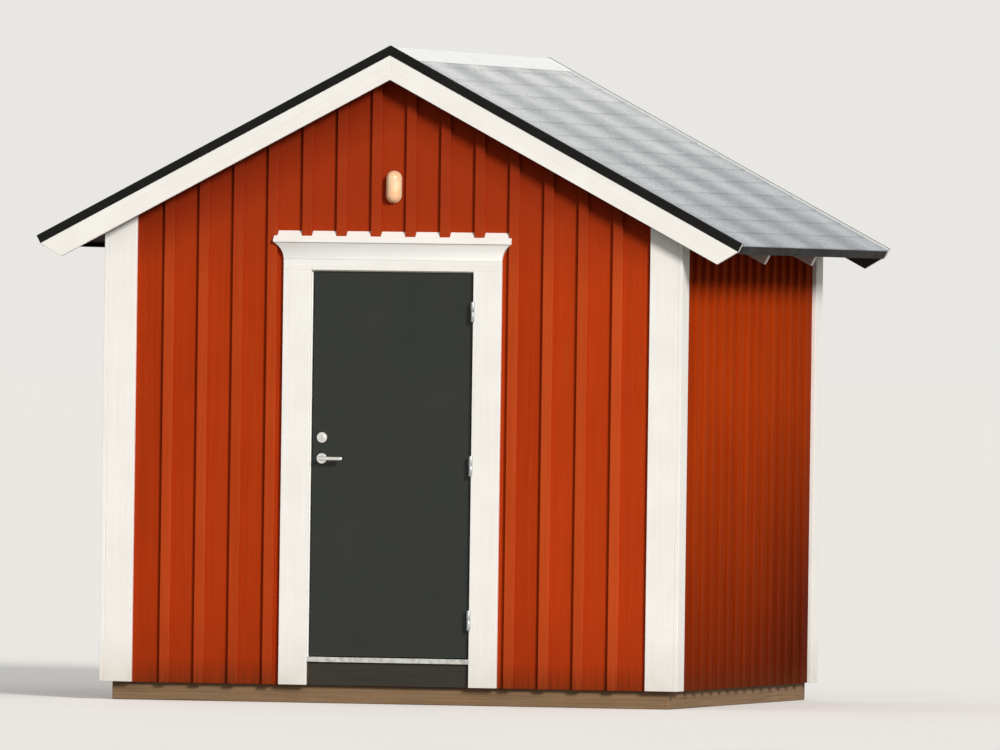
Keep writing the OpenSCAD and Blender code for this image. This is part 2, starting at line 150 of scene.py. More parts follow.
def close(tree, height, depth, colour, roughness, **more):
    """Ends a material. The depth is the real height of the relief in metres."""
    sockets = {"Base Color": colour, "Roughness": roughness}
    sockets["Normal"] = add(tree, "Bump", {"Strength": 1.0, "Distance": depth, "Height": height})
    sockets.update({title.replace("_", " "): value for title, value in more.items()})
    add(tree, "OutputMaterial", (add(tree, "BsdfPrincipled", sockets),))


print("a finish starts with", new_material.__name__, "and ends with", close.__name__)

# %% [markdown]
# Patterns that several finishes share.
#
# Wood is a pattern that is long one way and short the other. A noise texture is round, so its
# coordinates are squeezed along the grain by a Mapping node: the same noise then becomes streaks. The
# turn says which way the board lies, because every piece reads plain object coordinates. A finish is
# then a stack of coats: a base colour, and over it other colours, each shown as far as its own pattern
# lets it. A Map Range node stretches a pattern to the share that a coat needs.

# %% Streaks, blotches and coats
UP = (0, 0, 0)
ALONG_X = (0, math.pi / 2, 0)
ALONG_Y = (math.pi / 2, 0, 0)
DOWN_RIGHT = (0, math.pi / 2 - PITCH, 0)
DOWN_LEFT = (0, PITCH - math.pi / 2, 0)


def streaks(tree, grain, along, turn=UP, detail=3.0, twist=0.0):
    """Noise in streaks: grain is their width and along their length, in metres."""
    place = add(tree, "TexCoord").outputs["Object"]
    turned = add(tree, "Mapping", {"Vector": place, "Rotation": turn})
    squeezed = add(tree, "Mapping", {"Vector": turned, "Scale": (1, 1, grain / along)})
    given = {"Vector": squeezed, "Scale": 1 / grain, "Detail": detail, "Distortion": twist}
    return add(tree, "TexNoise", given)


def blotches(tree, size, detail=3.0):
    """Round noise whose patches are about this size, in metres."""
    place = add(tree, "TexCoord").outputs["Object"]
    return add(tree, "TexNoise", {"Vector": place, "Scale": 1 / size, "Detail": detail})


def sums(tree, *terms):
    """Adds values up, each times its own number."""
    total = 0.0
    for value, times in terms:
        total = add(tree, "Math", (value, times, total), operation="MULTIPLY_ADD")
    return total


def coats(tree, body, *layers):
    """Lays colours over a base colour, each by its own share from 0 to 1."""
    for share, colour in layers:
        body = add(tree, "Mix", (share, body, colour), data_type="RGBA")
    return body


print("ways the grain can run:", UP, ALONG_X, ALONG_Y, DOWN_RIGHT, DOWN_LEFT)

# %% [markdown]
# Patterns that follow the hut.
#
# Dirt and weather don't come by chance: they depend on how high a point lies and whether rain gets
# there. A Separate XYZ node gives a point's place on the hut, because all pieces share one origin.


# %% Height, ground and weather
def axes(tree):
    """Where a point of the hut lies: its X, its Y and its height, in metres."""
    return add(tree, "SeparateXYZ", (add(tree, "TexCoord").outputs["Object"],)).outputs


def dirt_near_ground(tree, reach, speck):
    """As much as speck says at the foot of the wall, and none from this far above it."""
    near = add(tree, "MapRange", (axes(tree)[2], FOOT, FOOT + reach, 1.0, 0.0))
    return add(tree, "Math", (near, speck), operation="MULTIPLY")


def out_of_doors(tree):
    """0 inside the studs' outer face, 1 where a roof timber has come out over the walls."""
    place = axes(tree)
    sideways = add(tree, "Math", (place[0],), operation="ABSOLUTE")
    lengthways = add(tree, "Math", (place[1],), operation="ABSOLUTE")
    further = add(tree, "Math", (sideways, lengthways), operation="MAXIMUM")
    return add(tree, "MapRange", (further, STUD, STUD + 2 * MM))


print("the ground's dirt starts at", FOOT, "and the weather at", STUD)

# %% [markdown]
# The cladding's finish: rough-sawn spruce boards with red distemper paint.
#
# Distemper is earth pigment, flour and water boiled together. It soaks into sawn wood and stays dead
# matt, so the roughness is near 1 and there is almost no gloss. Each board takes it a little
# differently, which the tone attribute gives, and rain draws it into upright streaks of 10 to 20 mm.
# The saw leaves fibres about 1 mm wide, drawn here 3 mm wide so that they show.
#
# The colour changes from place to place, and that is what makes it look real. Under the roof the
# gable gets a deeper, browner red: partly paint that the sun has bleached less, and partly painted
# shade of the roof's overhang. Towards +X, the right as seen from the front, the colour gets a little
# brighter, by the number called sun. Right under the bargeboards and the eaves the red is darker:
# painted shade. Splashes dull the foot, and the last 130 mm of the boards are darker and browner. The
# side walls' foot and rear end are painted darker, almost to dark brown: painted shade. All of this
# follows height and depth, which a material can read from the object coordinates.

# %% Red distemper
# Colours over every red: a darker foot, and painted shade under the roof line.
DARKER_FOOT_RED = "5c2a14"
SHADE_UNDER_ROOF_RED = "641806"


def red_distemper(name, deep, bright, faded, splash, unbleached_and_shade=None, low_rear_shade=None, sun=0.2):
    """Optional: a gable's deeper red under the roof, partly painted shade, and a side wall's painted
    shade.
    """
    made, tree = new_material(name)
    x, y, z = axes(tree)
    fibre = streaks(tree, 3 * MM, 120 * MM, detail=4.0)
    run = streaks(tree, 14 * MM, 900 * MM, twist=0.3)
    broad = blotches(tree, 450 * MM)
    own = add(tree, "Attribute", attribute_name="tone").outputs["Fac"]
    # The share grows a little towards +X, by the number sun, so that side is brighter.
    share = sums(tree, (run, 0.9), (fibre, 0.5), (broad, 0.6), (own, 0.18), (x, sun))
    worn = streaks(tree, 22 * MM, 500 * MM, detail=5.0)
    height = sums(tree, (z, 1.0), (broad, 0.12))
    layers = [
        (add(tree, "MapRange", (share, 0.55, 1.45)), bright),
        (add(tree, "MapRange", (worn, 0.62, 0.8, 0.0, 0.45)), faded),
    ]
    # Under the roof of a gable: a deeper red, partly painted shade of the overhang.
    if unbleached_and_shade:
        layers.append((add(tree, "MapRange", (height, 2.15, 2.55, 0.0, 0.85)), unbleached_and_shade))
    # Painted shade: a side wall's foot and rear end are made darker, most at the rear.
    if low_rear_shade:
        low = add(tree, "MapRange", (height, 0.15, 1.65, 1.0, 0.0))
        more_behind = add(tree, "MapRange", (y, -WALL, WALL, 0.5, 0.95))
        rear_end = add(tree, "MapRange", (y, 0.1, WALL, 0.0, 0.3))
        shade_share = add(tree, "Math", (low, more_behind, rear_end), operation="MULTIPLY_ADD")
        layers.append((add(tree, "Math", (shade_share, 1.0), operation="MINIMUM"), low_rear_shade))
    # Near the ground: splashes, and a darker foot over the last 130 mm.
    for reach, least, most, colour in (
        (420 * MM, 0.2, 0.7, splash),
        (130 * MM, 0.35, 0.75, DARKER_FOOT_RED),
    ):
        speck = add(tree, "MapRange", (run, 0.3, 0.7, least, most))
        layers.append((dirt_near_ground(tree, reach, speck), colour))
    # Painted shade under the roof line: darkest down to 130 mm below it, gone by 400 mm.
    sideways = add(tree, "Math", (x,), operation="ABSOLUTE")
    below_roof = sums(tree, (sideways, -TAN), (z, -1.0), (1.0, APEX))
    layers.append((add(tree, "MapRange", (below_roof, 130 * MM, 400 * MM, 0.6, 0.0)), SHADE_UNDER_ROOF_RED))
    relief = sums(tree, (fibre, 1.0), (run, 0.4))
    close(tree, relief, 0.9 * MM, coats(tree, deep, *layers), 0.95, Specular_IOR_Level=0.06)
    return made


print("on every red:", DARKER_FOOT_RED, "at the boards' ends and", SHADE_UNDER_ROOF_RED, "under the roof")

# %% The three reds
red_front = red_distemper(
    "sawn_board_with_red_distemper", "a0310a", "b93d10", "ab4c1e", "87290b", unbleached_and_shade="a03413"
)
red_batten = red_distemper(
    "sawn_batten_with_red_distemper", "aa3a12", "c24c1e", "b8562c", "8f3012", unbleached_and_shade="9e3416"
)
red_side = red_distemper(
    "sawn_board_with_red_distemper_side", "9d3003", "b33f07", "a5490f", "651f06", low_rear_shade="551602", sun=0.0
)
print("red paint:", [m.name for m in (red_front, red_batten, red_side)])

# %% [markdown]
# The trim's finish: planed boards with white alkyd house paint.
#
# Brushed paint leaves fine ridges along the board, 1 mm or so apart and drawn here at 2.5 mm, and it
# dries to a low sheen. It is never pure white: it yellows a little, and greys at the foot. The colour
# stays below white so that it doesn't burn out in the light. The crown's hollow moulding gets a
# brighter white: painted light, which lifts the shade in its downward-facing hollow.


# %% White house paint
def white_paint(name, turn, dull="ece9e2", fresh="f7f5f0"):
    made, tree = new_material(name)
    brush = streaks(tree, 2.5 * MM, 160 * MM, turn, detail=2.0)
    grain = streaks(tree, 12 * MM, 600 * MM, turn, twist=0.4)
    cloud = blotches(tree, 180 * MM)
    share = add(tree, "MapRange", (sums(tree, (grain, 0.7), (cloud, 0.6)), 0.4, 0.95))
    split = streaks(tree, 5 * MM, 300 * MM, turn, detail=5.0)
    crack = add(tree, "MapRange", (split, 0.68, 0.8, 0.0, 0.5))
    foot = dirt_near_ground(tree, 260 * MM, add(tree, "MapRange", (cloud, 0.3, 0.7, 0.1, 0.5)))
    colour = coats(tree, dull, (share, fresh), (crack, "d0c9bb"), (foot, "b9ab97"))
    sheen = add(tree, "MapRange", (cloud, 0.3, 0.7, 0.42, 0.6))
    close(tree, sums(tree, (brush, 0.5), (grain, 1.0)), 0.35 * MM, colour, sheen)
    return made


white_up = white_paint("white_alkyd_paint_upright", UP)
white_across = white_paint("white_alkyd_paint_level", ALONG_X)
white_right = white_paint("white_alkyd_paint_right_slope", DOWN_RIGHT)
white_left = white_paint("white_alkyd_paint_left_slope", DOWN_LEFT)
# The crown's moulding is painted a brighter white: painted light on its shaded hollow.
crown_white_painted_light = white_paint("white_alkyd_paint_crown_painted_light", ALONG_X, "f6f4ee", "fdfcf9")
print("white paint: 4 directions of the brush, and the fresh one under the crown")

# %% [markdown]
# Bare timber.
#
# Planed spruce indoors is pale yellow, with growth rings 3 to 8 mm apart that run along the board and
# a brown knot now and then. The base beams lie out in the weather instead: pressure-treated pine that
# has greyed, with long fine cracks. The threshold board is nearly black. The backs of the bargeboards
# and the boards under the eaves are nearly black too, and there the dark is painted shade. All are
# streaks in two tones, and only the colours, the cracks and the knots differ, so one function makes
# them. Roof timber is bare indoors and coated outside, the boards with near-black painted shade and
# the rafters' tails with thin white paint, so the function can also lay a coat on beyond the wall.


# %% Bare and weathered timber
RING_W = 7 * MM
FIBRE_W = 2 * MM
KNOTS_PER_METRE = 5.5


def bare_timber(name, turn, dark, light, knot, cracks, roughness=0.75, coat=None):
    """Cracks is how much they show. A coat is the pair of colours it has out of doors."""
    made, tree = new_material(name)
    ring = streaks(tree, RING_W, 500 * MM, turn, detail=2.0, twist=0.8)
    fine = streaks(tree, FIBRE_W, 90 * MM, turn, detail=4.0)
    cloud = blotches(tree, 300 * MM)
    own = add(tree, "Attribute", attribute_name="tone").outputs["Fac"]
    share = sums(tree, (ring, 1.0), (fine, 0.3), (cloud, 0.4), (own, 0.16))
    pale = add(tree, "MapRange", (share, 0.55, 1.15))
    place = add(tree, "TexCoord").outputs["Object"]
    turned = add(tree, "Mapping", {"Vector": place, "Rotation": turn})
    longer = add(tree, "Mapping", {"Vector": turned, "Scale": (1, 1, 0.45)})
    cells = add(tree, "TexVoronoi", {"Vector": longer, "Scale": KNOTS_PER_METRE})
    in_knot = add(tree, "MapRange", (cells, 0.05, 0.09, 0.75, 0.0))
    split = streaks(tree, 4 * MM, 420 * MM, turn, detail=5.0)
    crack = add(tree, "MapRange", (split, 0.6, 0.72, 0.0, cracks))
    layers = [(pale, light), (in_knot, knot), (crack, knot)]
    if coat:
        layers.append((out_of_doors(tree), coats(tree, coat[0], (pale, coat[1]))))
    relief = sums(tree, (ring, 0.6), (fine, 0.6), (crack, -1.2))
    colour = coats(tree, dark, *layers)
    close(tree, relief, 0.5 * MM, colour, roughness, Specular_IOR_Level=0.3)
    return made


print("rings", RING_W, "m apart, fibres", FIBRE_W, "m")

# %% The timbers, by kind and by how they lie
SPRUCE = ("c39a63", "dcb981", "7a4d28", 0.15)
# Near black: the threshold board, and the bargeboards' backs, where it is painted shade.
NEAR_BLACK = ("27241e", "36322a", "1b1814", 0.5)
FRAME = ("4f4339", "6a5b4d", "33291f", 0.3)
BASE = ("745b42", "947657", "403325", 0.75, 0.85)
# Near-black coat on the roof boards beyond the walls: painted shade under the eaves.
EAVES_PAINTED_SHADE = ("2a241e", "3d352c")
THIN_WHITE = ("b4aea3", "d8d4cb")
spruce_up = bare_timber("planed_spruce_upright", UP, *SPRUCE)
spruce_across = bare_timber("planed_spruce_level", ALONG_X, *SPRUCE)
spruce_deep = bare_timber("planed_spruce_front_to_back", ALONG_Y, *SPRUCE)
rafter_right = bare_timber("spruce_rafter_right_slope", DOWN_RIGHT, *SPRUCE, coat=THIN_WHITE)
rafter_left = bare_timber("spruce_rafter_left_slope", DOWN_LEFT, *SPRUCE, coat=THIN_WHITE)
eaves_boards = bare_timber("spruce_roof_boards", ALONG_Y, *SPRUCE, coat=EAVES_PAINTED_SHADE)
near_black_across = bare_timber("near_black_board_level", ALONG_X, *NEAR_BLACK)
# The bargeboards' backs: near black, which is painted shade.
board_back_shade_right = bare_timber("board_back_painted_shade_right_slope", DOWN_RIGHT, *NEAR_BLACK)
board_back_shade_left = bare_timber("board_back_painted_shade_left_slope", DOWN_LEFT, *NEAR_BLACK)
frame_across = bare_timber("treated_floor_frame_level", ALONG_X, *FRAME)
frame_deep = bare_timber("treated_floor_frame_front_to_back", ALONG_Y, *FRAME)
base_across = bare_timber("weathered_treated_pine_level", ALONG_X, *BASE)
base_deep = bare_timber("weathered_treated_pine_front_to_back", ALONG_Y, *BASE)
print("timber: 13 finishes")

# %% [markdown]
# The roof's finish: bitumen shingles with grey stone granules.
#
# The granules are 1 to 2 mm of crushed slate in several greys. They are drawn at 5 mm, because finer
# ones blur into one grey in the render. The upper rows are lighter, the lower ones slate blue, and
# every tab has its own tone. The step under each row is a little darker: painted shade under the row
# above, with a little dirt. The material finds the steps by itself: it measures how far a point lies
# up the slope from the eaves, divides that by what one row shows, and takes the part after the point.
#
# From far away the rows hardly show. What the eye sees then are soft lighter and darker bands straight
# down the slope, not quite a metre wide, and thin streaks inside them: rain runs down the same paths
# for years. The bands are a cosine of how far back a point lies, made uneven by noise. BAND is the way
# from one to the next, and BAND_START, in radians, shifts them all. They get darker towards the eaves,
# where more rain has run.

# %% How the shingles lie
EXPOSURE = 145 * MM
TOP_N = 28 * MM
BAND = 845 * MM
BAND_START = -0.59
GRANULE = 5 * MM
shingle_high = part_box("shingles_right")[1]
EAVE_S = (shingle_high.x - TOP_N * SIN) / COS
FOLD_Y = shingle_high.y
print("rows of", EXPOSURE, "from", round(EAVE_S, 4), "down the slope")

# %% Rows, granules and bands of the shingles
shingle, tree = new_material("bitumen_shingle_with_slate_granules")
x, y, height = axes(tree)
place = add(tree, "TexCoord").outputs["Object"]
cells = add(tree, "TexVoronoi", {"Vector": place, "Scale": 1 / GRANULE})
speck = add(tree, "SeparateColor", (cells.outputs["Color"],))
sideways = add(tree, "Math", (x,), operation="ABSOLUTE")
from_ridge = sums(tree, (sideways, COS), (height, -SIN), (1.0, APEX * SIN))
rows_up = sums(tree, (from_ridge, -1 / EXPOSURE), (1.0, EAVE_S / EXPOSURE))
row = add(tree, "Math", (rows_up,), operation="FLOOR")
in_row = add(tree, "Math", (rows_up,), operation="FRACT")
row_tone = add(tree, "TexWhiteNoise", {"W": row}, noise_dimensions="1D").outputs["Value"]
own = add(tree, "Attribute", attribute_name="tone").outputs["Fac"]
shade = sums(tree, (own, 0.3), (blotches(tree, 60 * MM), 0.8), (row_tone, 0.1))
wander = blotches(tree, 700 * MM, detail=1.0)
turn = sums(tree, (y, math.tau / BAND), (wander, 0.8), (1.0, BAND_START))
wave = add(tree, "Math", (turn,), operation="COSINE")
run = streaks(tree, 35 * MM, 900 * MM, DOWN_RIGHT)
path = sums(tree, (wave, 0.425), (run, 0.4), (1.0, 0.425))
wet_path = add(tree, "MapRange", (path, 0.25, 1.1))
more_below = add(tree, "MapRange", (height, 2.3, 3.1, 0.85, 0.52))
lighter_higher_up = sums(tree, (height, 1.0), (blotches(tree, 350 * MM), 0.5))
print("patterns of the shingles:", len(tree.nodes), "nodes")

# %% Bitumen shingle
colour = coats(
    tree,
    "b3b9be",
    # Lighter towards the ridge, following height and a broad pattern.
    (add(tree, "MapRange", (lighter_higher_up, 2.6, 3.5)), "eaecea"),
    (add(tree, "MapRange", (shade, 0.1, 1.3, 0.0, 0.45)), "8b919a"),
    (add(tree, "Math", (wet_path, more_below), operation="MULTIPLY"), "767c84"),
    (add(tree, "MapRange", (speck, 0.0, 1.0, 0.0, 0.42)), "e4e6e6"),
    (add(tree, "MapRange", (speck, 0.25, 0.0, 0.0, 0.55)), "585c63"),
    # The step under each row: painted shade under the row above, with a little dirt.
    (add(tree, "MapRange", (in_row, 0.82, 0.97, 0.0, 0.14)), "5d6065"),
)
relief = sums(tree, (cells, -1.0), (speck, 0.4))
close(tree, relief, 1.2 * MM, colour, 0.92, Specular_IOR_Level=0.2)
print("roof:", shingle.name, len(tree.nodes), "nodes")

# %% [markdown]
# Sheet metal.
#
# The covers on the roof's edges are folded from steel sheet with a black plastic coating, and the
# ridge cap from a pale one. The coating is smooth, with a low even sheen and the faint waviness of
# thin sheet. Dust settles on it, so a little of a second colour comes in by a soft pattern. Where the
# sheet stands up beside the shingles, its face is pale grey instead of black.


# %% Coated sheet
def coated_sheet(name, colour, dust, roughness, gloss):
    made, tree = new_material(name)
    cloud = blotches(tree, 90 * MM, detail=5.0)
    fleck = blotches(tree, 9 * MM, detail=2.0)
    dusty = add(tree, "MapRange", (cloud, 0.45, 0.75, 0.0, 0.35))
    dotted = add(tree, "MapRange", (fleck, 0.62, 0.72, 0.0, 0.25))
    sheen = add(tree, "MapRange", (cloud, 0.3, 0.7, roughness - 0.06, roughness + 0.1))
    wave = sums(tree, (blotches(tree, 260 * MM, detail=1.0), 1.0), (fleck, 0.03))
    colour = coats(tree, colour, (dusty, dust), (dotted, dust))
    close(tree, wave, 3 * MM, colour, sheen, Specular_IOR_Level=gloss)
    return made


black_sheet = coated_sheet("black_coated_sheet_steel", "111110", "252422", 0.62, 0.12)
# The upstand beside the shingles: pale grey instead of black.
pale_upstand_sheet = coated_sheet("black_sheet_pale_upstand", "d2d3d2", "b6b8b8", 0.9, 0.1)
pale_sheet = coated_sheet("pale_coated_sheet_steel", "f4f5f4", "dfdfdb", 0.4, 0.4)
print("sheet:", black_sheet.name, pale_upstand_sheet.name, pale_sheet.name)

# %% [markdown]
# The door and its metal.
#
# The leaf is a smooth factory-made one in satin dark grey-green enamel, whose surface has the shallow
# orange peel of a sprayed coat, about 2 mm across. The lamp's base has the same coat in cream, with
# more gloss, and the seal is moulded rubber, nearly black and nearly matt. Handle and lock are satin
# stainless steel, ground one way. The hinges are plain zinc-plated steel. The sill is drawn aluminium,
# with lines along it and scratches where people step.


# %% Enamel and rubber
def smooth_finish(name, colour, scuff, roughness, peel, gloss=0.4):
    """Peel is the depth of the shallow waves on the surface."""
    made, tree = new_material(name)
    scuffed = add(tree, "MapRange", (blotches(tree, 240 * MM), 0.35, 0.75, 0.0, 0.5))
    smear = streaks(tree, 30 * MM, 300 * MM)
    sheen = add(tree, "MapRange", (smear, 0.3, 0.7, roughness - 0.05, roughness + 0.08))
    orange_peel = blotches(tree, 2.5 * MM, detail=1.0)
    colour = coats(tree, colour, (scuffed, scuff))
    close(tree, orange_peel, peel, colour, sheen, Specular_IOR_Level=gloss)
    return made


door_enamel = smooth_finish("satin_dark_green_grey_enamel", "2b2e2b", "32342f", 0.42, 0.12 * MM, 0.22)
lamp_enamel = smooth_finish("cream_enamelled_lamp_base", "ddc4a4", "cdb08c", 0.35, 0.08 * MM)
rubber = smooth_finish("black_rubber_seal", "161616", "222120", 0.7, 0.05 * MM)
print("coats:", door_enamel.name, lamp_enamel.name, rubber.name)


# %% Steel and aluminium
def ground_metal(name, colour, dull, roughness, turn, groove=0.8 * MM):
    made, tree = new_material(name)
    lines = streaks(tree, groove, 40 * MM, turn, detail=2.0)
    dulled = add(tree, "MapRange", (blotches(tree, 25 * MM), 0.4, 0.7))
    sheen = add(tree, "MapRange", (lines, 0.3, 0.7, roughness - 0.08, roughness + 0.12))
    close(tree, lines, 0.05 * MM, coats(tree, colour, (dulled, dull)), sheen, Metallic=1.0)
    return made


stainless = ground_metal("satin_stainless_steel", "eeede9", "dad9d5", 0.34, ALONG_X)
zinc = ground_metal("zinc_plated_steel", "b5b8ba", "94979a", 0.42, UP)
aluminium = ground_metal("drawn_aluminium", "dedfdd", "b7b6b1", 0.36, ALONG_X, 1.5 * MM)
print("metal:", stainless.name, zinc.name, aluminium.name)

# %% [markdown]
# The lamp's glass: opal acrylic.
#
# Opal plastic scatters light inside, so it looks soft and creamy with a clear gloss on top. A little
# subsurface scattering under a smooth surface gives that. It ambers unevenly with age.

# %% Opal acrylic
opal, tree = new_material("opal_acrylic")
ambered = add(tree, "MapRange", (blotches(tree, 70 * MM), 0.35, 0.7))
close(
    tree,
    blotches(tree, 18 * MM, detail=1.0),
    0.15 * MM,
    coats(tree, "ffd9ae", (ambered, "fac090")),
    0.22,
    Subsurface_Weight=0.15,
    Subsurface_Scale=0.02,
    IOR=1.49,
)
print("lamp:", opal.name)

# %% [markdown]
# Growing repeated pieces.
#
# A Geometry Nodes tree needs an object to sit on. This function puts a tree on an empty mesh, sets the
# tree's named inputs by their identifiers, takes the result as a plain mesh and throws the carrier
# away. A turn about Z then brings what was made along the front to another wall.


# %% Run a tree, place its mesh
def place_mesh(mesh, name, matrix, body="hut", slot=None, replaces=()):
    """Shows a mesh as a piece of the object, with its place worked into the mesh."""
    mesh.transform(matrix)
    mesh.update()
    piece = bpy.data.objects.new(name, mesh)
    mesh.name = name
    scene.collection.objects.link(piece)
    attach(piece, body)
    if replaces:
        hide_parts(*replaces)
    return piece


def grow(name, tree, matrix, slot=None, replaces=(), **sizes):
    """A piece made by a tree with these inputs."""
    carrier = bpy.data.objects.new("carrier", bpy.data.meshes.new("carrier"))
    scene.collection.objects.link(carrier)
    modifier = carrier.modifiers.new("grow", "NODES")
    modifier.node_group = tree
    sockets = {s.name: s.identifier for s in tree.interface.items_tree if s.in_out == "INPUT"}
    for title, value in sizes.items():
        modifier[sockets[title.replace("_", " ")]] = value
    seen = carrier.evaluated_get(bpy.context.evaluated_depsgraph_get())
    mesh = bpy.data.meshes.new_from_object(seen)
    bpy.data.objects.remove(carrier)
    place_mesh(mesh, name, matrix, slot=slot, replaces=replaces)
    print(f"{name}: {len(mesh.vertices)} points, {len(mesh.polygons)} faces")


# %% Start a tree, turn to a wall
def new_tree(name, **inputs):
    """A Geometry Nodes tree with these named inputs and one geometry output."""
    tree = bpy.data.node_groups.new(name, "GeometryNodeTree")
    kinds = {int: "NodeSocketInt", float: "NodeSocketFloat", type(None): "NodeSocketMaterial"}
    for title, value in inputs.items():
        socket = tree.interface.new_socket(
            title.replace("_", " "), in_out="INPUT", socket_type=kinds[type(value)]
        )
        if value is not None:
            socket.default_value = value
    tree.interface.new_socket("Geometry", in_out="OUTPUT", socket_type="NodeSocketGeometry")
    return tree, add(tree, "NodeGroupInput").outputs


def facing(degrees, out=0.0):
    """The place of something made at the front's middle, turned to another wall."""
    return Matrix.Rotation(math.radians(degrees), 4, "Z") @ Matrix.Translation((0, -out, 0))


WALLS = {"front": 0, "right": 90, "back": 180, "left": -90}
print("walls:", WALLS)

# %% [markdown]
# Boards in a row.
#
# Upright cladding, cover battens, studs, floor boards and roof boarding are all the same thing: equal
# boards side by side. They could be an Array modifier, but then every top would be level. In this tree
# each board is an eased profile, swept upwards and put on a line of points. Each one also gets a tone
# of its own, for its colour, and remembers where its middle stands. Faces that look indoors get their
# own material.

# %% The tree for rows of boards: its inputs
boards, given = new_tree(
    "row_of_boards",
    Count=17,
    Spacing=SPACING,
    Width=169 * MM,
    Thickness=BOARD_T,
    Arris=1.5 * MM,
    Foot=FOOT,
    Apex=APEX,
    Slope=TAN,
    Reach=WALL,
    Doorway=0.0,
    Door_top=HEAD,
    Unevenness=0.3 * MM,
    Seed=1,
    Outside=None,
    Inside=None,
)
print("a row of boards takes:", ", ".join(s.name for s in given if s.name))

# %% One board, and the row it is repeated in
outline = add(boards, "CurvePrimitiveQuadrilateral", (given["Width"], given["Thickness"]))
eased = add(boards, "FilletCurve", (outline, 1, given["Arris"]), mode="POLY")
profile = add(boards, "SubdivideCurve", (eased, 1))
path = add(boards, "CurvePrimitiveLine", {"End": (0, 0, 1)})
board = add(boards, "CurveToMesh", {"Curve": path, "Profile Curve": profile, "Fill Caps": True})
gaps = add(boards, "Math", (given["Count"], 1), operation="SUBTRACT")
row_length = add(boards, "Math", (gaps, given["Spacing"]), operation="MULTIPLY")
start = add(boards, "Math", (row_length, -0.5), operation="MULTIPLY")
start = add(boards, "CombineXYZ", (start,))
step = add(boards, "CombineXYZ", (given["Spacing"],))
line = add(boards, "MeshLine", (given["Count"], start, step))
copies = add(boards, "InstanceOnPoints", {"Points": line, "Instance": board})
chance = add(boards, "RandomValue", (-1.0, 1.0, None, given["Seed"]))
where = add(boards, "InputPosition")
own_x = add(boards, "SeparateXYZ", (where,))
for title, value in (("tone", chance), ("middle", own_x)):
    told = {"Geometry": copies, "Name": title, "Value": value}
    copies = add(boards, "StoreNamedAttribute", told, domain="INSTANCE")
solid = add(boards, "RealizeInstances", (copies,))
print("a board, its line and its tone:", len(boards.nodes), "nodes")

# %% [markdown]
# Sawing the boards to length.
#
# A carpenter nails the boards up first and saws them along the roof afterwards. Here too: after
# Realize Instances the top points are moved to the roof line, the boards over the doorway start
# higher, and the last board is ripped to the width that is left.

# %% Cut the boards to the roof, the doorway and the corners
at = add(boards, "SeparateXYZ", (where,)).outputs
middle = add(boards, "InputNamedAttribute", ("middle",), data_type="FLOAT")
tone = add(boards, "InputNamedAttribute", ("tone",), data_type="FLOAT")
other_end = add(boards, "Math", (given["Reach"], -1), operation="MULTIPLY")
kept = add(boards, "Math", (at[0], given["Reach"]), operation="MINIMUM")
x = add(boards, "Math", (kept, other_end), operation="MAXIMUM")
off_middle = add(boards, "Math", (middle,), operation="ABSOLUTE")
over_door = add(boards, "Math", (off_middle, given["Doorway"]), operation="LESS_THAN")
foot = add(boards, "Switch", (over_door, given["Foot"], given["Door top"]), input_type="FLOAT")
off_centre = add(boards, "Math", (x,), operation="ABSOLUTE")
fall = add(boards, "Math", (off_centre, given["Slope"]), operation="MULTIPLY")
roof = add(boards, "Math", (given["Apex"], fall), operation="SUBTRACT")
upper = add(boards, "Math", (at[2], 0.5), operation="GREATER_THAN")
z = add(boards, "Switch", (upper, foot, roof), input_type="FLOAT")
depth = add(boards, "Math", (given["Thickness"], 0.5, at[1]), operation="MULTIPLY_ADD")
y = add(boards, "Math", (tone, given["Unevenness"], depth), operation="MULTIPLY_ADD")
spot = add(boards, "CombineXYZ", (x, y, z))
solid = add(boards, "SetPosition", {"Geometry": solid, "Position": spot})
solid = add(boards, "SetShadeSmooth", {"Geometry": solid, "Shade Smooth": False})
solid = add(boards, "SetMaterial", {"Geometry": solid, "Material": given["Outside"]})
normal = add(boards, "SeparateXYZ", (add(boards, "InputNormal"),)).outputs
inward = add(boards, "Math", (normal[1], 0.5), operation="GREATER_THAN")
solid = add(boards, "SetMaterial", (solid, inward, given["Inside"]))
add(boards, "NodeGroupOutput", (solid,))
print("tree:", boards.name, len(boards.nodes), "nodes")

# %% [markdown]
# The cladding.
#
# Wide boards stand side by side with gaps of 10 mm, and a 50 mm cover batten closes each gap. The
# battens are 22 mm thick, so they throw the upright shadows that make such a wall. One stands 89.5 mm
# either side of the middle of the door. Over the crown the battens start in its notches.

# %% The nodes of each wall, and two heights
ONE_WALL = {
    "front": ("front_wall_left", "front_wall_right", "front_gable"),
    "back": ("back_wall",),
    "left": ("left_wall",),
    "right": ("right_wall",),
}
NOTCH = CROWN_LOW.z + 11 * MM
SIDE_TOP = APEX - WALL * TAN
print("battens over the crown start at", round(NOTCH, 3), "and side walls end at", round(SIDE_TOP, 3))

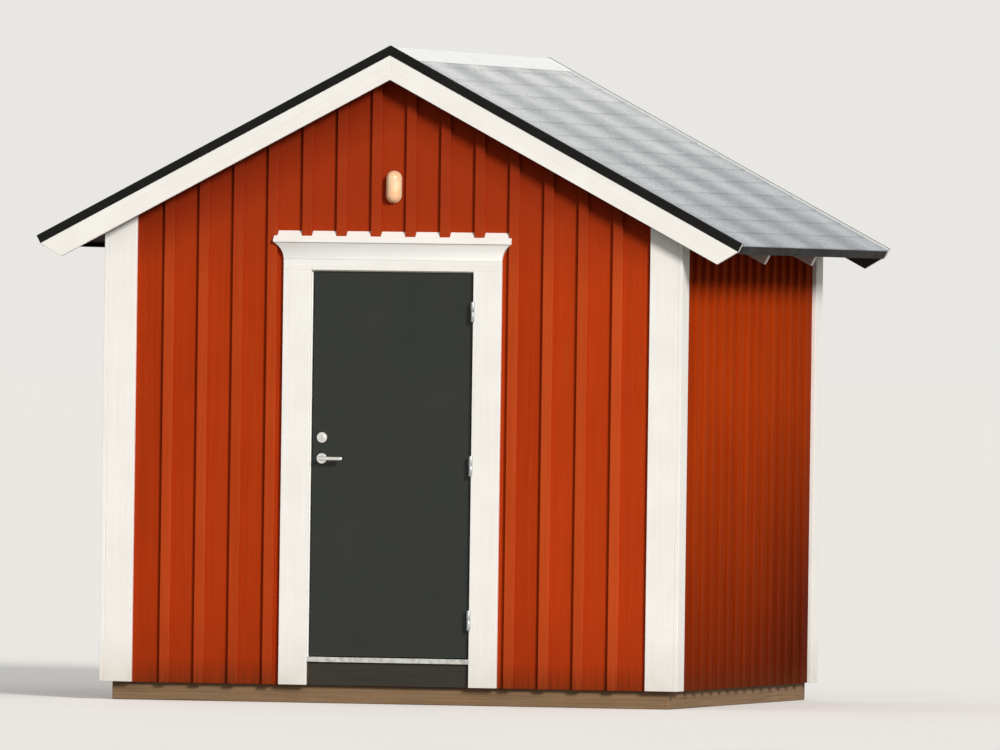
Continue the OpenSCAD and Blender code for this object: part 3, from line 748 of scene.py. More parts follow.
# %% Boards and battens on the four walls
for number, (side, degrees) in enumerate(WALLS.items()):
    gable = side in ("front", "back")
    is_front = side == "front"
    shape = {
        "Apex": APEX - 0.1 * MM if gable else SIDE_TOP - 0.1 * MM,
        "Slope": TAN if gable else 0.0,
        "Foot": FOOT,
        "Inside": spruce_up,
        "slot": "red_boards",
    }
    grow(
        f"{side}_cladding_boards",
        boards,
        facing(degrees, WALL),
        replaces=ONE_WALL[side],
        Reach=WALL if gable else STUD,
        Doorway=FRAME_X if is_front else 0.0,
        Door_top=HEAD,
        Seed=11 + number,
        Outside=red_front if gable else red_side,
        **shape,
    )
    shape["Apex"] -= 0.0 if gable else (FACE - WALL) * TAN
    grow(
        f"{side}_cover_battens",
        boards,
        facing(degrees, FACE),
        Count=14,
        Width=BATTEN_W,
        Doorway=CASING_OUT if is_front else 0.0,
        Door_top=NOTCH,
        Arris=2 * MM,
        Seed=21 + number,
        Outside=red_batten if gable else red_side,
        **shape,
    )

# %% [markdown]
# Tools for single boards.
#
# The plates, the header over the door, the rafters in the gables and the corner boards are each one
# timber. A cube with a Bevel modifier would do for the squared ones, but a bmesh takes several timbers
# into one piece and bevels only their own edges. Boards under the roof have slanting ends, so those
# are made from their outline instead.

# %% Single squared timbers
TIMBER_EASE = 2 * MM


def ease_edges(work, edges, width):
    """Takes the sharpness off edges, with two narrow faces each."""
    bmesh.ops.bevel(
        work,
        geom=edges,
        offset=width,
        offset_type="OFFSET",
        segments=2,
        profile=0.5,
        affect="EDGES",
        clamp_overlap=True,
    )


def timber(work, low, high):
    """Adds a squared timber between two corners, its edges eased."""
    made = set(bmesh.ops.create_cube(work, size=1.0)["verts"])
    bmesh.ops.scale(work, vec=Vector(high) - Vector(low), verts=list(made))
    bmesh.ops.translate(work, vec=(Vector(high) + Vector(low)) / 2, verts=list(made))
    ease_edges(work, [e for e in work.edges if e.verts[0] in made], TIMBER_EASE)


print("a timber's edges are eased by", TIMBER_EASE, "m")


# %% Boards with slanting ends, and showing a piece
def sloped_board(work, points, y0, y1, ease=TIMBER_EASE):
    """Adds a board with this outline in the XZ plane, from y0 to y1."""
    lower = [work.verts.new((p[0], y0, p[1])) for p in points]
    upper = [work.verts.new((p[0], y1, p[1])) for p in points]
    faces = [work.faces.new(lower), work.faces.new(upper[::-1])]
    for i in range(len(points)):
        j = (i + 1) % len(points)
        faces.append(work.faces.new((lower[j], lower[i], upper[i], upper[j])))
    bmesh.ops.recalc_face_normals(work, faces=faces)
    ease_edges(work, list({e for f in faces for e in f.edges}), ease)


def slope_point(s, n):
    """A point of the right-hand slope: s runs down it and n is square to it."""
    return (s * COS + n * SIN, APEX - s * SIN + n * COS)


def show(work, name, materials, matrix=Matrix(), **told):
    """Turns a bmesh into a shown piece."""
    mesh = bpy.data.meshes.new(name)
    work.to_mesh(mesh)
    work.free()
    for material in materials:
        mesh.materials.append(material)
    return place_mesh(mesh, name, matrix, **told)


print("a point 1 m down the slope:", [round(p, 3) for p in slope_point(1, 0)])

# %% [markdown]
# The stud frame indoors.
#
# Through the open door you see studs every 600 mm, a sill plate and a top plate, and the bare backs of
# the boards. The studs are one more row from the same tree. The plates lie along the walls, and the
# doorway has a header over it and a post at each side.

# %% The plates of one wall
STUD_W = 45 * MM
GABLE_RAFTER = 95 * MM
RAFTER_SHORT = 20 * MM


def wall_plates(gable, is_front):
    """A bmesh of a wall's sill plate, and of its top plate or its two gable rafters."""
    work = bmesh.new()
    reach = STUD if gable else ROOM
    spans = [(-reach, reach)]
    if is_front:
        spans = [(-reach, -FRAME_X), (FRAME_X, reach)]
    for start_x, end_x in spans:
        timber(work, (start_x, -STUD, FLOOR), (end_x, -ROOM, FLOOR + STUD_W))
    if not gable:
        timber(work, (-reach, -STUD, PLATE - STUD_W), (reach, -ROOM, PLATE))
        return work
    tail = STUD / COS - RAFTER_SHORT
    outline = [
        (0, APEX - 0.5 * MM),
        slope_point(tail, -0.5 * MM),
        slope_point(tail, -GABLE_RAFTER),
        (0, APEX - GABLE_RAFTER / COS),
    ]
    for sign in (-1, 1):
        sloped_board(work, [(sign * p[0], p[1]) for p in outline], -STUD, -ROOM)
    return work


print("gable rafters:", round(STUD / COS - RAFTER_SHORT, 3), "m long")

# %% Studs and plates on the four walls
for number, (side, degrees) in enumerate(WALLS.items()):
    gable = side in ("front", "back")
    is_front = side == "front"
    grow(
        f"{side}_studs",
        boards,
        facing(degrees, STUD),
        Count=5,
        Spacing=600 * MM,
        Width=STUD_W,
        Thickness=STUD_T,
        Arris=2 * MM,
        Foot=FLOOR + STUD_W,
        Apex=(APEX - GABLE_RAFTER / COS) if gable else PLATE - STUD_W,
        Slope=TAN if gable else 0.0,
        Reach=ROOM,
        Doorway=FRAME_X if is_front else 0.0,
        Door_top=HEAD + STUD_T,
        Unevenness=0.0,
        Seed=31 + number,
        Outside=spruce_up,
        Inside=spruce_up,
    )
    work = wall_plates(gable, is_front)
    if is_front:
        timber(work, (-FRAME_X - STUD_W, -STUD, HEAD), (FRAME_X + STUD_W, -ROOM, HEAD + STUD_T))
        for sign in (-1, 1):
            near, far = sorted((sign * FRAME_X, sign * (FRAME_X + STUD_W)))
            timber(work, (near, -STUD, FLOOR + STUD_W), (far, -ROOM, HEAD))
    show(work, f"{side}_plates", [spruce_across], facing(degrees))

# %% [markdown]
# The floor.
#
# Pine boards lie across the joists, from side to side, 115 mm wide with a thin shadow between them.
# They are the same row of boards, laid down: the tree's upright becomes left to right.

# %% Floor boards
FLOOR_ROWS = 26
LAY_ACROSS = Matrix(((0, 0, 1, 0), (-1, 0, 0, 0), (0, -1, 0, FLOOR), (0, 0, 0, 1)))
grow(
    "floor_planks",
    boards,
    LAY_ACROSS,
    slot="floor_boards",
    replaces=("floor_boards",),
    Count=FLOOR_ROWS,
    Spacing=2 * STUD / FLOOR_ROWS,
    Width=2 * STUD / FLOOR_ROWS - 1 * MM,
    Thickness=22 * MM,
    Arris=1 * MM,
    Foot=-STUD,
    Apex=STUD,
    Slope=0.0,
    Reach=STUD,
    Unevenness=0.0,
    Seed=41,
    Outside=spruce_across,
    Inside=spruce_across,
)

# %% [markdown]
# Roof boarding.
#
# Boards run from gable to gable and are nailed on the rafters. From below you see them between the
# tails under the eaves, with a small V where two meet. The row is laid on the slope, and the same mesh
# turned half round the vertical axis makes the other slope, so nothing is mirrored inside out.


# %% Which way a slope lies
def on_slope(turn=0):
    """Local X runs down the slope, Y runs to the back and Z is square out of the slope."""
    down = Vector((COS, 0, -SIN))
    out = Vector((SIN, 0, COS))
    base = Matrix((down, (0, 1, 0), out)).transposed().to_4x4()
    base.translation = (0, 0, APEX)
    return Matrix.Rotation(turn, 4, "Z") @ base


SLOPE_TURNS = {"right": 0, "left": math.pi}
print("slopes:", *SLOPE_TURNS)

# %% Boards on both slopes
COVER_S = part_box("roof_boards_right")[1].x / COS - ROOF_BOARD_T * TAN
ROOF_BOARD_ROWS = 18
LAY_DOWN = Matrix(((1, 0, 0, 0), (0, 0, 1, 0), (0, -1, 0, 0), (0, 0, 0, 1)))
for number, (side, turn) in enumerate(SLOPE_TURNS.items()):
    grow(
        f"roof_planks_{side}",
        boards,
        on_slope(turn) @ Matrix.Translation((COVER_S / 2, 0, ROOF_BOARD_T)) @ LAY_DOWN,
        slot="roof_boards",
        replaces=(f"roof_boards_{side}",),
        Count=ROOF_BOARD_ROWS,
        Spacing=COVER_S / ROOF_BOARD_ROWS,
        Width=COVER_S / ROOF_BOARD_ROWS - 0.6 * MM,
        Thickness=ROOF_BOARD_T,
        Arris=3 * MM,
        Foot=-ROOF_Y,
        Apex=ROOF_Y,
        Slope=0.0,
        Reach=COVER_S,
        Unevenness=0.0,
        Seed=51 + number,
        Outside=eaves_boards,
        Inside=eaves_boards,
    )

# %% [markdown]
# Shingles.
#
# Bitumen shingles lie in rows that start at the eaves. Each row shows 145 mm and covers the slots of
# the row below, because every second row is shifted by half a tab. One tab is a thin sheet with
# rounded lower corners, tilted by its own thickness over that 145 mm, so that the rows step like real
# ones.

# %% The tree for shingles: one tab
tabs, given = new_tree(
    "rows_of_shingle_tabs",
    Rows=14,
    Tabs=11,
    Exposure=EXPOSURE,
    Tab=333 * MM,
    Slot=9 * MM,
    Length=260 * MM,
    Thickness=3 * MM,
    Eave=EAVE_S,
    Half_length=FOLD_Y,
    Top=TOP_N,
    Seed=3,
    Material=None,
)
width = add(tabs, "Math", (given["Tab"], given["Slot"]), operation="SUBTRACT")
outline = add(tabs, "CurvePrimitiveQuadrilateral", (width, given["Length"]))
outline = add(tabs, "FilletCurve", (outline, 2, 9 * MM), mode="POLY")
below = add(tabs, "Math", (given["Thickness"], -1), operation="MULTIPLY")
path = add(tabs, "CurvePrimitiveLine", (add(tabs, "CombineXYZ", (0, 0, below)), (0, 0, 0)))
tab = add(tabs, "CurveToMesh", {"Curve": path, "Profile Curve": outline, "Fill Caps": True})
half_back = add(tabs, "Math", (given["Length"], -0.5), operation="MULTIPLY")
back = add(tabs, "CombineXYZ", (0, half_back))
tab = add(tabs, "Transform", {"Geometry": tab, "Translation": back})
tilt = add(tabs, "Math", (given["Thickness"], given["Exposure"]), operation="ARCTAN2")
tab = add(tabs, "Transform", {"Geometry": tab, "Rotation": add(tabs, "CombineXYZ", (tilt,))})
print("one tab:", len(tabs.nodes), "nodes")

# %% [markdown]
# Where the tabs lie.
#
# The points for the tabs come from a grid. Its rows are shifted by a quarter of a tab, one way and then
# the other, and every tab strays a millimetre or two, because a roofer lays them by eye. After Realize
# Instances the outermost tabs are trimmed at the bargeboards and the topmost at the ridge.

# %% Rows of points for the tabs
tab_gaps = add(tabs, "Math", (given["Tabs"], 1), operation="SUBTRACT")
row_gaps = add(tabs, "Math", (given["Rows"], 1), operation="SUBTRACT")
long_way = add(tabs, "Math", (tab_gaps, given["Tab"]), operation="MULTIPLY")
down_way = add(tabs, "Math", (row_gaps, given["Exposure"]), operation="MULTIPLY")
grid = add(tabs, "MeshGrid", (long_way, down_way, given["Tabs"], given["Rows"]))
at = add(tabs, "SeparateXYZ", (add(tabs, "InputPosition"),)).outputs
half_down = add(tabs, "Math", (down_way, 0.5), operation="MULTIPLY")
from_eave = add(tabs, "Math", (half_down, at[1]), operation="SUBTRACT")
row = add(tabs, "Math", (from_eave, given["Exposure"]), operation="DIVIDE")
row = add(tabs, "Math", (row,), operation="ROUND")
odd = add(tabs, "Math", (row, 2), operation="MODULO")
either_way = add(tabs, "Math", (odd, 0.5), operation="SUBTRACT")
half_tab = add(tabs, "Math", (given["Tab"], 0.5), operation="MULTIPLY")
shift = add(tabs, "Math", (either_way, half_tab), operation="MULTIPLY")
next_seed = add(tabs, "Math", (given["Seed"], 1), operation="ADD")
third_seed = add(tabs, "Math", (given["Seed"], 2), operation="ADD")
stray = add(tabs, "RandomValue", (-2 * MM, 2 * MM, row, given["Seed"]))
uneven = add(tabs, "RandomValue", (-1.5 * MM, 0.0, None, next_seed))
sideways = add(tabs, "Math", (shift, stray), operation="ADD")
up_slope = add(tabs, "Math", (given["Eave"], from_eave), operation="SUBTRACT")
spot = add(
    tabs,
    "CombineXYZ",
    (
        add(tabs, "Math", (at[0], sideways), operation="ADD"),
        add(tabs, "Math", (up_slope, uneven), operation="ADD"),
        given["Top"],
    ),
)
grid = add(tabs, "SetPosition", {"Geometry": grid, "Position": spot})
print("tabs and their places:", len(tabs.nodes), "nodes")

# %% Lay the tabs and trim them
copies = add(tabs, "InstanceOnPoints", {"Points": grid, "Instance": tab})
chance = add(tabs, "RandomValue", (-1.0, 1.0, None, third_seed))
told = {"Geometry": copies, "Name": "tone", "Value": chance}
copies = add(tabs, "StoreNamedAttribute", told, domain="INSTANCE")
solid = add(tabs, "RealizeInstances", (copies,))
other_end = add(tabs, "Math", (given["Half length"], -1), operation="MULTIPLY")
kept = add(tabs, "Math", (at[0], given["Half length"]), operation="MINIMUM")
inside = add(tabs, "Math", (kept, other_end), operation="MAXIMUM")
below_ridge = add(tabs, "Math", (at[1], 2 * MM), operation="MAXIMUM")
spot = add(tabs, "CombineXYZ", (inside, below_ridge, at[2]))
solid = add(tabs, "SetPosition", {"Geometry": solid, "Position": spot})
solid = add(tabs, "SetShadeSmooth", {"Geometry": solid, "Shade Smooth": False})
solid = add(tabs, "SetMaterial", {"Geometry": solid, "Material": given["Material"]})
add(tabs, "NodeGroupOutput", (solid,))
print("tree:", tabs.name, len(tabs.nodes), "nodes")

# %% [markdown]
# The shingles on the roof.
#
# The tree makes the rows as they lie on a table, so one matrix turns them onto the slope. The left
# slope gets another seed, so that the two aren't twins.

# %% Shingles on both slopes
LAY_ROWS = Matrix(((0, 1, 0, 0), (-1, 0, 0, 0), (0, 0, 1, 0), (0, 0, 0, 1)))
for number, (side, turn) in enumerate(SLOPE_TURNS.items()):
    grow(
        f"shingle_rows_{side}",
        tabs,
        on_slope(turn) @ LAY_ROWS,
        slot="shingles",
        replaces=(f"shingles_{side}",),
        Seed=61 + number,
        Material=shingle,
    )

# %% [markdown]
# The starter course.
#
# The first row at the eaves needs a second layer below it, or its slots would show the boards. That is
# a plain strip of the same shingle, and its edge shows as a second thin line over the metal.

# %% Starter course at both eaves
UNDER_N = ROOF_BOARD_T + 2.2 * MM
STARTER_S = EAVE_S - 100 * MM
outline = [
    slope_point(STARTER_S, UNDER_N),
    slope_point(EAVE_S, UNDER_N),
    slope_point(EAVE_S, TOP_N - 3.1 * MM),
    slope_point(STARTER_S, UNDER_N + 0.6 * MM),
]
for side, sign in (("left", -1), ("right", 1)):
    work = bmesh.new()
    sloped_board(work, [(sign * p[0], p[1]) for p in outline], -FOLD_Y, FOLD_Y, ease=0.2 * MM)
    show(work, f"starter_course_{side}", [shingle], slot="shingles")
print("starter course: 2 strips")

# %% [markdown]
# Pieces whose CAD shape is right.
#
# A real board has eased edges, and paint rounds them more. A sharp CAD edge catches no light and looks
# cut from paper. So each rigid piece is copied, its triangles are merged into whole faces, and its
# sharp edges are rounded by 1 to 4 mm, or less on the fittings. The copy then stands for the node.


# %% Eased copies of the CAD pieces
def saw_off(work, point, direction):
    """Saws off what lies beyond a plane, and closes the cut."""
    everything = [*work.verts, *work.edges, *work.faces]
    cut = bmesh.ops.bisect_plane(
        work, geom=everything, dist=0.01 * MM, plane_co=point, plane_no=direction, clear_outer=True
    )["geom_cut"]
    bmesh.ops.holes_fill(work, edges=[e for e in cut if isinstance(e, bmesh.types.BMEdge)])
    bmesh.ops.recalc_face_normals(work, faces=work.faces)


def eased_copy(node, ease, *materials, slot, body="hut", smooth=False, picks=None, saw=None):
    """A copy of a node with rounded edges.

    Faces for which picks is true get the second material. Saw is a plane's point and direction.
    """
    work = bmesh.new()
    work.from_mesh(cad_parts[node].data)
    bmesh.ops.remove_doubles(work, verts=work.verts, dist=0.01 * MM)
    bmesh.ops.dissolve_limit(work, angle_limit=math.radians(0.5), verts=work.verts, edges=work.edges)
    if saw:
        saw_off(work, *saw)
    sharp = [e for e in work.edges if len(e.link_faces) == 2 and e.calc_face_angle() > math.radians(30)]
    ease_edges(work, sharp, ease)
    for face in work.faces:
        face.smooth = smooth
        face.material_index = int(bool(picks and picks(face)))
    piece = show(work, f"{node}_eased", materials, body=body, slot=slot, replaces=(node,))
    if smooth:
        piece.data.set_sharp_from_angle(angle=math.radians(32))


def eased_copies(rows, slot, **told):
    """An eased copy for each row of node, rounding in mm and material."""
    for node, ease, material in rows:
        eased_copy(node, ease * MM, material, slot=slot, **told)
    print(f"{slot}:", ", ".join(row[0] for row in rows))


# %% Ease the base, the floor's frame and the ridge beam
eased_copies(
    (
        ("base_front", 4, base_across),
        ("base_back", 4, base_across),
        ("base_left", 4, base_deep),
        ("base_right", 4, base_deep),
    ),
    "base_timber",
)
eased_copies(
    (
        ("floor_rims", 2, frame_across),
        ("floor_joists", 2, frame_deep),
        ("threshold_board", 2, near_black_across),
    ),
    "floor_timber",
)
eased_copies((("ridge_beam", 2, spruce_deep),), "roof_timber")

# %% [markdown]
# Rafters and bargeboards.
#
# The boards that close the roof towards the gables are white in front and nearly black behind, where
# the dark is painted shade. Their lower ends are sawn off at a slant, so that water runs to a point and
# drips clear of the wall. The CAD has square ends, so here a plane cuts the corner off each copy and
# the hole is closed again. The rafters' tails come out through the side walls, and only their sawn
# ends have the trim's thick paint.

# %% Roof timber with two finishes
RIM_N = TOP_N + 6 * MM
END_S = (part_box("bargeboard_front_right")[1].x - RIM_N * SIN) / COS
SLANT_TOP = slope_point(END_S, RIM_N - 44 * MM)
SLANT_FOOT = slope_point(END_S - 65 * MM, RIM_N - 150 * MM)
SLOPES = {
    "left": (-1, white_left, board_back_shade_left, rafter_left),
    "right": (1, white_right, board_back_shade_right, rafter_right),
}
for end, inward in (("front", 1), ("back", -1)):
    # The backs of the bargeboards take the near-black board: painted shade.
    for side, (sign, face_paint, back_shade, wood) in SLOPES.items():
        slant = Vector((sign * (SLANT_TOP[1] - SLANT_FOOT[1]), 0, SLANT_FOOT[0] - SLANT_TOP[0]))
        eased_copy(
            f"bargeboard_{end}_{side}",
            2 * MM,
            face_paint,
            back_shade,
            slot="white_trim",
            picks=lambda f, k=inward: f.normal.y * k > 0.8,
            saw=((sign * SLANT_TOP[0], 0, SLANT_TOP[1]), slant),
        )
        eased_copy(
            f"rafter_{end}_{side}",
            2 * MM,
            wood,
            white_up,
            slot="roof_timber",
            picks=lambda f, k=sign: f.normal.x * k > 0.8 and abs(f.calc_center_median().x) > FACE,
        )
print("roof timber: 4 rafters, 4 bargeboards")

# %% [markdown]
# Corner boards.
#
# Each corner has two boards: one on the gable, and one on the side wall that laps over its edge. In
# the CAD they are one piece, so here they are made again as two, with the fine line between them.

# %% Two boards at each corner
TRIM_W = CASING_OUT - CASING_IN
TOP_GAP = 0.5 * MM
JOINT = 0.4 * MM
for end, b in (("front", -1), ("back", 1)):
    for side, k in (("left", -1), ("right", 1)):
        work = bmesh.new()
        for x0, x1, y0, y1 in (
            (WALL - TRIM_W, WALL - JOINT, WALL, FACE),
            (WALL, FACE, FACE - TRIM_W, FACE),
        ):
            points = [(k * x0, FOOT), (k * x1, FOOT)]
            points += [(k * x, APEX - x * TAN - TOP_GAP) for x in (x1, x0)]
            sloped_board(work, points, *sorted((b * y0, b * y1)))
        name = f"corner_boards_{end}_{side}"
        show(work, f"{name}_pair", [white_up], slot="white_trim", replaces=(name,))
print("corner boards: 4 pairs")

# %% [markdown]
# The doorway.
#
# The crown over the door is the hut's one ornament: a plain head board, a hollow moulding that flares
# past the casings, and a sloping cap cut out round the battens. The frame itself is painted like the
# trim. The moulding's hollow comes from the CAD as many flat facets, and smooth shading joins them,
# while edges sharper than 32 degrees stay crisp.

# %% Casings, crown, frame and sill
eased_copies(
    (
        ("casing_left", 2, white_up),
        ("door_jamb_left", 1.5, white_up),
        ("casing_right", 2, white_up),
        ("door_jamb_right", 1.5, white_up),
        ("casing_head", 2, white_across),
    ),
    "white_trim",
)
# Brighter white on the moulding: painted light.
eased_copies((("crown_moulding", 1.5, crown_white_painted_light),), "white_trim", smooth=True)
eased_copies((("crown_cap", 1.5, white_across), ("door_head", 1.5, white_across)), "white_trim")
eased_copies((("door_sill", 1.5, aluminium),), "sill_metal")

# %% [markdown]
# The rubber seal.
#
# A black rubber seal runs round the stop, and the leaf closes against it. A curve with a round bevel
# would make it too. Here rings of points are set along its path and joined, which shows how a tube is
# built, and at the two corners the ring is widened so that the tube keeps its thickness.


# %% A tube along points
def tube(points, radius, sides=8):
    """A bmesh tube along points, closed at both ends, with corners of 90 degrees."""
    work = bmesh.new()
    rings = []
    last = len(points) - 1
    for i, point in enumerate(points):
        ahead = (Vector(points[min(i + 1, last)]) - Vector(points[max(i - 1, 0)])).normalized()
        flat = ahead.cross(Vector((0, 1, 0))).normalized()
        wide = 1.0 if i in (0, last) else math.sqrt(2)
        ring = []
        for k in range(sides):
            turn = math.tau * k / sides
            across = flat * radius * wide * math.cos(turn)
            out = Vector((0, radius * math.sin(turn), 0))
            ring.append(work.verts.new(Vector(point) + across + out))
        rings.append(ring)
    for one, two in zip(rings, rings[1:]):
        for k in range(sides):
            j = (k + 1) % sides
            work.faces.new((one[k], one[j], two[j], two[k]))
    work.faces.new(rings[0])
    work.faces.new(rings[-1][::-1])
    bmesh.ops.recalc_face_normals(work, faces=work.faces)
    for face in work.faces:
        face.smooth = True
    return work


SEAL_R = 2 * MM
print("the seal is", 2 * SEAL_R, "m thick")

# %% Rubber seal round the stop
leaf_low, leaf_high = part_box("door_leaf")
seal_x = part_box("door_jamb_right")[0].x + 2.5 * MM
seal_y = leaf_high.y + 5 * MM - SEAL_R
seal_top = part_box("door_head")[0].z + 2.5 * MM
seal_foot = leaf_low.z + 2 * MM
up_and_down = ((-seal_x, seal_foot), (-seal_x, seal_top), (seal_x, seal_top), (seal_x, seal_foot))
seal_points = [(x, seal_y, z) for x, z in up_and_down]
show(tube(seal_points, SEAL_R), "door_seal", [rubber], slot="door_paint")
print("seal round the stop")

# %% [markdown]
# Door leaf, handle, lock and hinges.
#
# These move, so each rides on its own body: the leaf and what is screwed to it on the door, and the
# lever on the handle. The half of each hinge that stays on the frame belongs to the hut.

# %% Door set
eased_copies((("door_leaf", 1.5, door_enamel),), "door_paint", body="door")
for body, rows in (
    ("door", (("handle_plates", 0.8, stainless), ("lock", 0.8, stainless))),
    ("handle", (("lever_handle", 0.5, stainless),)),
    ("door", (("hinges_leaf_side", 0.6, zinc),)),
    ("hut", (("hinges_frame_side", 0.6, zinc),)),
):
    eased_copies(rows, "steel_fittings", body=body, smooth=True)

# %% [markdown]
# Metal on the roof, and the lamp.
#
# The sheet-metal pieces are already 2 mm thin with sharp folds, as real ones are. Those at the eaves
# and on the ridge only get their finish. The two over the gables are copied, because their upstand
# beside the shingles takes another one. The lamp's base and glass are smooth turned shapes.

# %% Sheet metal and lamp
for node, finish in (
    ("eave_edge_left", black_sheet),
    ("eave_edge_right", black_sheet),
    ("ridge_cap", pale_sheet),
):
    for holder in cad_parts[node].material_slots:
        holder.material = finish
for end, inward in (("front", 1), ("back", -1)):
    eased_copy(
        f"barge_flashing_{end}",
        0.3 * MM,
        black_sheet,
        pale_upstand_sheet,
        slot="black_metal",
        picks=lambda f, k=inward: f.normal.y * k > 0.8 and abs(f.calc_center_median().y) < ROOF_Y,
    )
eased_copies((("lamp_base", 2, lamp_enamel),), "lamp_base", smooth=True)
eased_copies((("lamp_glass", 1, opal),), "lamp_glass", smooth=True)

# %% [markdown]
# Nails.
#
# Every batten and board is nailed to the frame behind. The heads are 7 mm wide, stand a little proud
# and are painted over. They are small, but a wall without them looks printed. One tree puts a head on
# each point of a grid and leaves out those above the roof line and in the doorway.

# %% The tree for nail heads
nails, given = new_tree(
    "grid_of_nail_heads",
    Columns=14,
    Column_spacing=SPACING,
    Rows=4,
    Row_spacing=600 * MM,
    First_row=FOOT + 160 * MM,
    Head=3.5 * MM,
    Proud=0.8 * MM,
    Apex=APEX,
    Slope=TAN,
    Doorway=0.0,
    Door_top=HEAD,
    Seed=5,
    Material=None,
)
column_gaps = add(nails, "Math", (given["Columns"], 1), operation="SUBTRACT")
row_gaps = add(nails, "Math", (given["Rows"], 1), operation="SUBTRACT")
wide = add(nails, "Math", (column_gaps, given["Column spacing"]), operation="MULTIPLY")
tall = add(nails, "Math", (row_gaps, given["Row spacing"]), operation="MULTIPLY")
grid = add(nails, "MeshGrid", (wide, tall, given["Columns"], given["Rows"]))
at = add(nails, "SeparateXYZ", (add(nails, "InputPosition"),)).outputs
from_first = add(nails, "Math", (tall, 0.5, at[1]), operation="MULTIPLY_ADD")
up = add(nails, "Math", (from_first, given["First row"]), operation="ADD")
left_low = (-4 * MM, 0, -5 * MM)
right_high = (4 * MM, 0, 5 * MM)
stray = add(
    nails, "RandomValue", (left_low, right_high, None, given["Seed"]), data_type="FLOAT_VECTOR"
)
spot = add(nails, "CombineXYZ", (at[0], 0, up))
grid = add(nails, "SetPosition", {"Geometry": grid, "Position": spot, "Offset": stray})
print("where the nails go:", len(nails.nodes), "nodes")

# %% Leave some out and put a head on the rest
off_centre = add(nails, "Math", (at[0],), operation="ABSOLUTE")
down_slope = add(nails, "Math", (given["Slope"], -1), operation="MULTIPLY")
roof = add(nails, "Math", (off_centre, down_slope, given["Apex"]), operation="MULTIPLY_ADD")
highest = add(nails, "Math", (roof, 60 * MM), operation="SUBTRACT")
too_high = add(nails, "Math", (at[2], highest), operation="GREATER_THAN")
by_door = add(nails, "Math", (off_centre, given["Doorway"]), operation="LESS_THAN")
below_head = add(nails, "Math", (at[2], given["Door top"]), operation="LESS_THAN")
in_doorway = add(nails, "Math", (by_door, below_head), operation="MULTIPLY")
gone = add(nails, "Math", (too_high, in_doorway), operation="MAXIMUM")
grid = add(nails, "DeleteGeometry", (grid, gone), domain="POINT")
both_sides = add(nails, "Math", (given["Proud"], 2), operation="MULTIPLY")
head = add(nails, "MeshCylinder", {"Vertices": 8, "Radius": given["Head"], "Depth": both_sides})
head = add(nails, "Transform", {"Geometry": head, "Rotation": (math.pi / 2, 0, 0)})
copies = add(nails, "InstanceOnPoints", {"Points": grid, "Instance": head})
solid = add(nails, "RealizeInstances", (copies,))
solid = add(nails, "SetMaterial", {"Geometry": solid, "Material": given["Material"]})
add(nails, "NodeGroupOutput", (solid,))
print("tree:", nails.name, len(nails.nodes), "nodes")

# %% [markdown]
# Nails in the cladding.
#
# The battens are nailed where they cross the level timbers behind, so the heads stand in level rows.
# They are painted with the wall, and in a low light each throws a small shadow.

# %% Nails in the battens
for number, (side, degrees) in enumerate(WALLS.items()):
    gable = side in ("front", "back")
    grow(
        f"{side}_batten_nails",
        nails,
        facing(degrees, FACE),
        slot="red_boards",
        Rows=6 if gable else 4,
        Row_spacing=(590 if gable else 680) * MM,
        Apex=APEX if gable else SIDE_TOP,
        Slope=TAN if gable else 0.0,
        Doorway=CASING_OUT if side == "front" else 0.0,
        Door_top=CROWN_HIGH.z + 40 * MM,
        Seed=71 + number,
        Material=red_batten if gable else red_side,
    )

# %% [markdown]
# Nails in the trim.
#
# Corner boards and casings are wider, so they take two nails at each height, 24 mm in from the edges.
# Finer nails are used there, and they are driven almost flush.

# %% Pairs of nails in corner boards and casings
PAIR_W = TRIM_W - 2 * 24 * MM
CASING_X = (CASING_IN + CASING_OUT) / 2
for number, (side, degrees) in enumerate(WALLS.items()):
    corner_x = (WALL if side in ("front", "back") else FACE) - TRIM_W / 2
    middles = {"left_corner": -corner_x, "right_corner": corner_x}
    if side == "front":
        middles.update(left_casing=-CASING_X, right_casing=CASING_X)
    for title, x in middles.items():
        at_corner = "corner" in title
        grow(
            f"{side}_{title}_nails",
            nails,
            facing(degrees) @ Matrix.Translation((x, -FACE, 0)),
            slot="white_trim",
            Columns=2,
            Column_spacing=PAIR_W,
            Rows=5 if at_corner else 4,
            Row_spacing=(505 if at_corner else 600) * MM,
            First_row=FOOT + 90 * MM,
            Head=3 * MM,
            Proud=0.5 * MM,
            Slope=0.0,
            Seed=81 + number,
            Material=white_up,
        )

# %% [markdown]
# Screws in the ridge cap.
#
# The cap is held by roofing screws through both its wings. Their heads are zinc-plated and are left
# bare. They are the same heads on a grid, one row to each slope, laid down on the sheet.

# %% Screws on both wings of the cap
ON_CAP = Matrix(((0, 0, 1, 0), (1, 0, 0, 0), (0, -1, 0, 0), (0, 0, 0, 1)))
for side in ("left", "right"):
    grow(
        f"ridge_screws_{side}",
        nails,
        on_slope(SLOPE_TURNS[side]) @ Matrix.Translation((0, 0, TOP_N + 2 * MM)) @ ON_CAP,
        slot="pale_metal",
        Columns=6,
        Column_spacing=580 * MM,
        Rows=1,
        First_row=95 * MM,
        Head=4 * MM,
        Proud=1.2 * MM,
        Slope=0.0,
        Seed=91,
        Material=zinc,
    )

# %% [markdown]
# The camera.
#
# The photograph was taken with a long lens from far away, 15 degrees to the right of the front and
# nearly two metres above the hut's foot: the lines at the foot of the side wall still climb towards the
# back, and those of the eaves hardly fall. Perspective depends only on where the camera stands, so it
# stands at the same place. The lens is made longer, so that this one hut fills the frame.

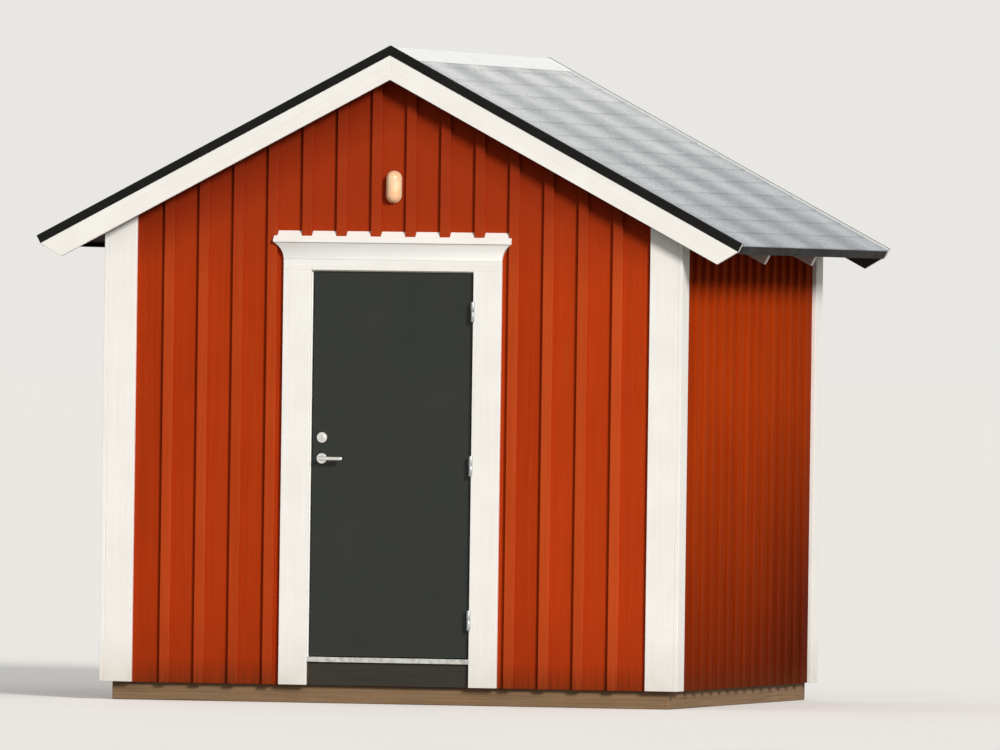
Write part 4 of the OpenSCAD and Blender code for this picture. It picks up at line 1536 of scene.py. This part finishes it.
# %% Camera
DISTANCE = 90.0
TO_THE_RIGHT = math.radians(14.69)
EYE = 1.888
LOOKED_AT = Vector((0.1762, -0.0039, 1.6563))
ROLL = math.radians(0.780)
LENS = 635.5
camera = bpy.data.objects.new("camera", bpy.data.cameras.new("camera"))
scene.collection.objects.link(camera)
camera.location = (DISTANCE * math.sin(TO_THE_RIGHT), -DISTANCE * math.cos(TO_THE_RIGHT), EYE)
look = (LOOKED_AT - camera.location).to_track_quat("-Z", "Y").to_matrix().to_4x4()
camera.rotation_mode = "QUATERNION"
camera.rotation_quaternion = (look @ Matrix.Rotation(ROLL, 4, "Z")).to_quaternion()
camera.data.lens = LENS
camera.data.clip_start = 1
camera.data.clip_end = 1000
scene.camera = camera
print("camera at", [round(c, 2) for c in camera.location], "lens", camera.data.lens)

# %% [markdown]
# The floor.
#
# A plain pale floor runs to the horizon. To the eye it has the colour of the sky behind it, so no line
# shows between them, and a little glow that only the camera sees brings the two together. To the
# light that bounces it is darker, as the ground outdoors is, so what looks down gets deep shade.

# %% Studio floor
BACKDROP = "e9e7e3"
FLOOR_GLOW = 0.207


def to_the_eye(tree):
    """1 for what the camera sees, straight or in a reflection, and 0 for light that bounces."""
    rays = add(tree, "LightPath").outputs
    shiny = add(tree, "Math", (rays["Is Glossy Ray"], rays["Is Transmission Ray"]), operation="MAXIMUM")
    return add(tree, "Math", (rays["Is Camera Ray"], shiny), operation="MAXIMUM")


floor_paint, tree = new_material("matt_pale_floor")
seen = to_the_eye(tree)
cloud = add(tree, "MapRange", (blotches(tree, 900 * MM), 0.3, 0.7))
sockets = {
    "Base Color": coats(tree, "8f8d8a", (seen, coats(tree, BACKDROP, (cloud, "e6e4e0")))),
    "Roughness": 0.9,
    "Emission Color": BACKDROP,
    "Emission Strength": add(tree, "Math", (seen, FLOOR_GLOW), operation="MULTIPLY"),
}
add(tree, "OutputMaterial", (add(tree, "BsdfPrincipled", sockets),))
work = bmesh.new()
bmesh.ops.create_grid(work, x_segments=8, y_segments=8, size=600)
ground = bpy.data.meshes.new("studio_floor")
work.to_mesh(ground)
work.free()
ground.materials.append(floor_paint)
studio_floor = bpy.data.objects.new("studio_floor", ground)
studio_floor.location.z = -1 * MM
scene.collection.objects.link(studio_floor)
print("floor:", floor_paint.name)

# %% [markdown]
# The light.
#
# The key is a soft low sun from the right front, which puts a short shadow under the eaves, and an
# even light from all round fills it. Their sum keeps a colour as it is written. The world shows the
# backdrop's colour to the eye, and a plain white to the light.

# %% World and sun
FILL = 0.40
SUN = 3.1
KEY_SIDE = math.radians(42)
KEY_UP = math.radians(22)
world = bpy.data.worlds.new("studio")
scene.world = world
world.use_nodes = True
tree = world.node_tree
tree.nodes.clear()
fill = add(tree, "Background", ("ffffff", FILL))
sky = add(tree, "Background", (BACKDROP, 1.0))
mixed = add(tree, "MixShader", (to_the_eye(tree), fill, sky))
add(tree, "OutputWorld", (mixed,))
sun = bpy.data.objects.new("key", bpy.data.lights.new("key", "SUN"))
scene.collection.objects.link(sun)
sun.data.energy = SUN
sun.data.angle = math.radians(14)
sun.data.color = (1.0, 0.985, 0.96)
to_sun = Matrix.Rotation(KEY_SIDE, 3, "Z") @ Vector((0, -math.cos(KEY_UP), math.sin(KEY_UP)))
sun.rotation_mode = "QUATERNION"
sun.rotation_quaternion = to_sun.to_track_quat("Z", "Y")
scene.view_settings.view_transform = "Standard"
print("light: the sky and one soft sun")
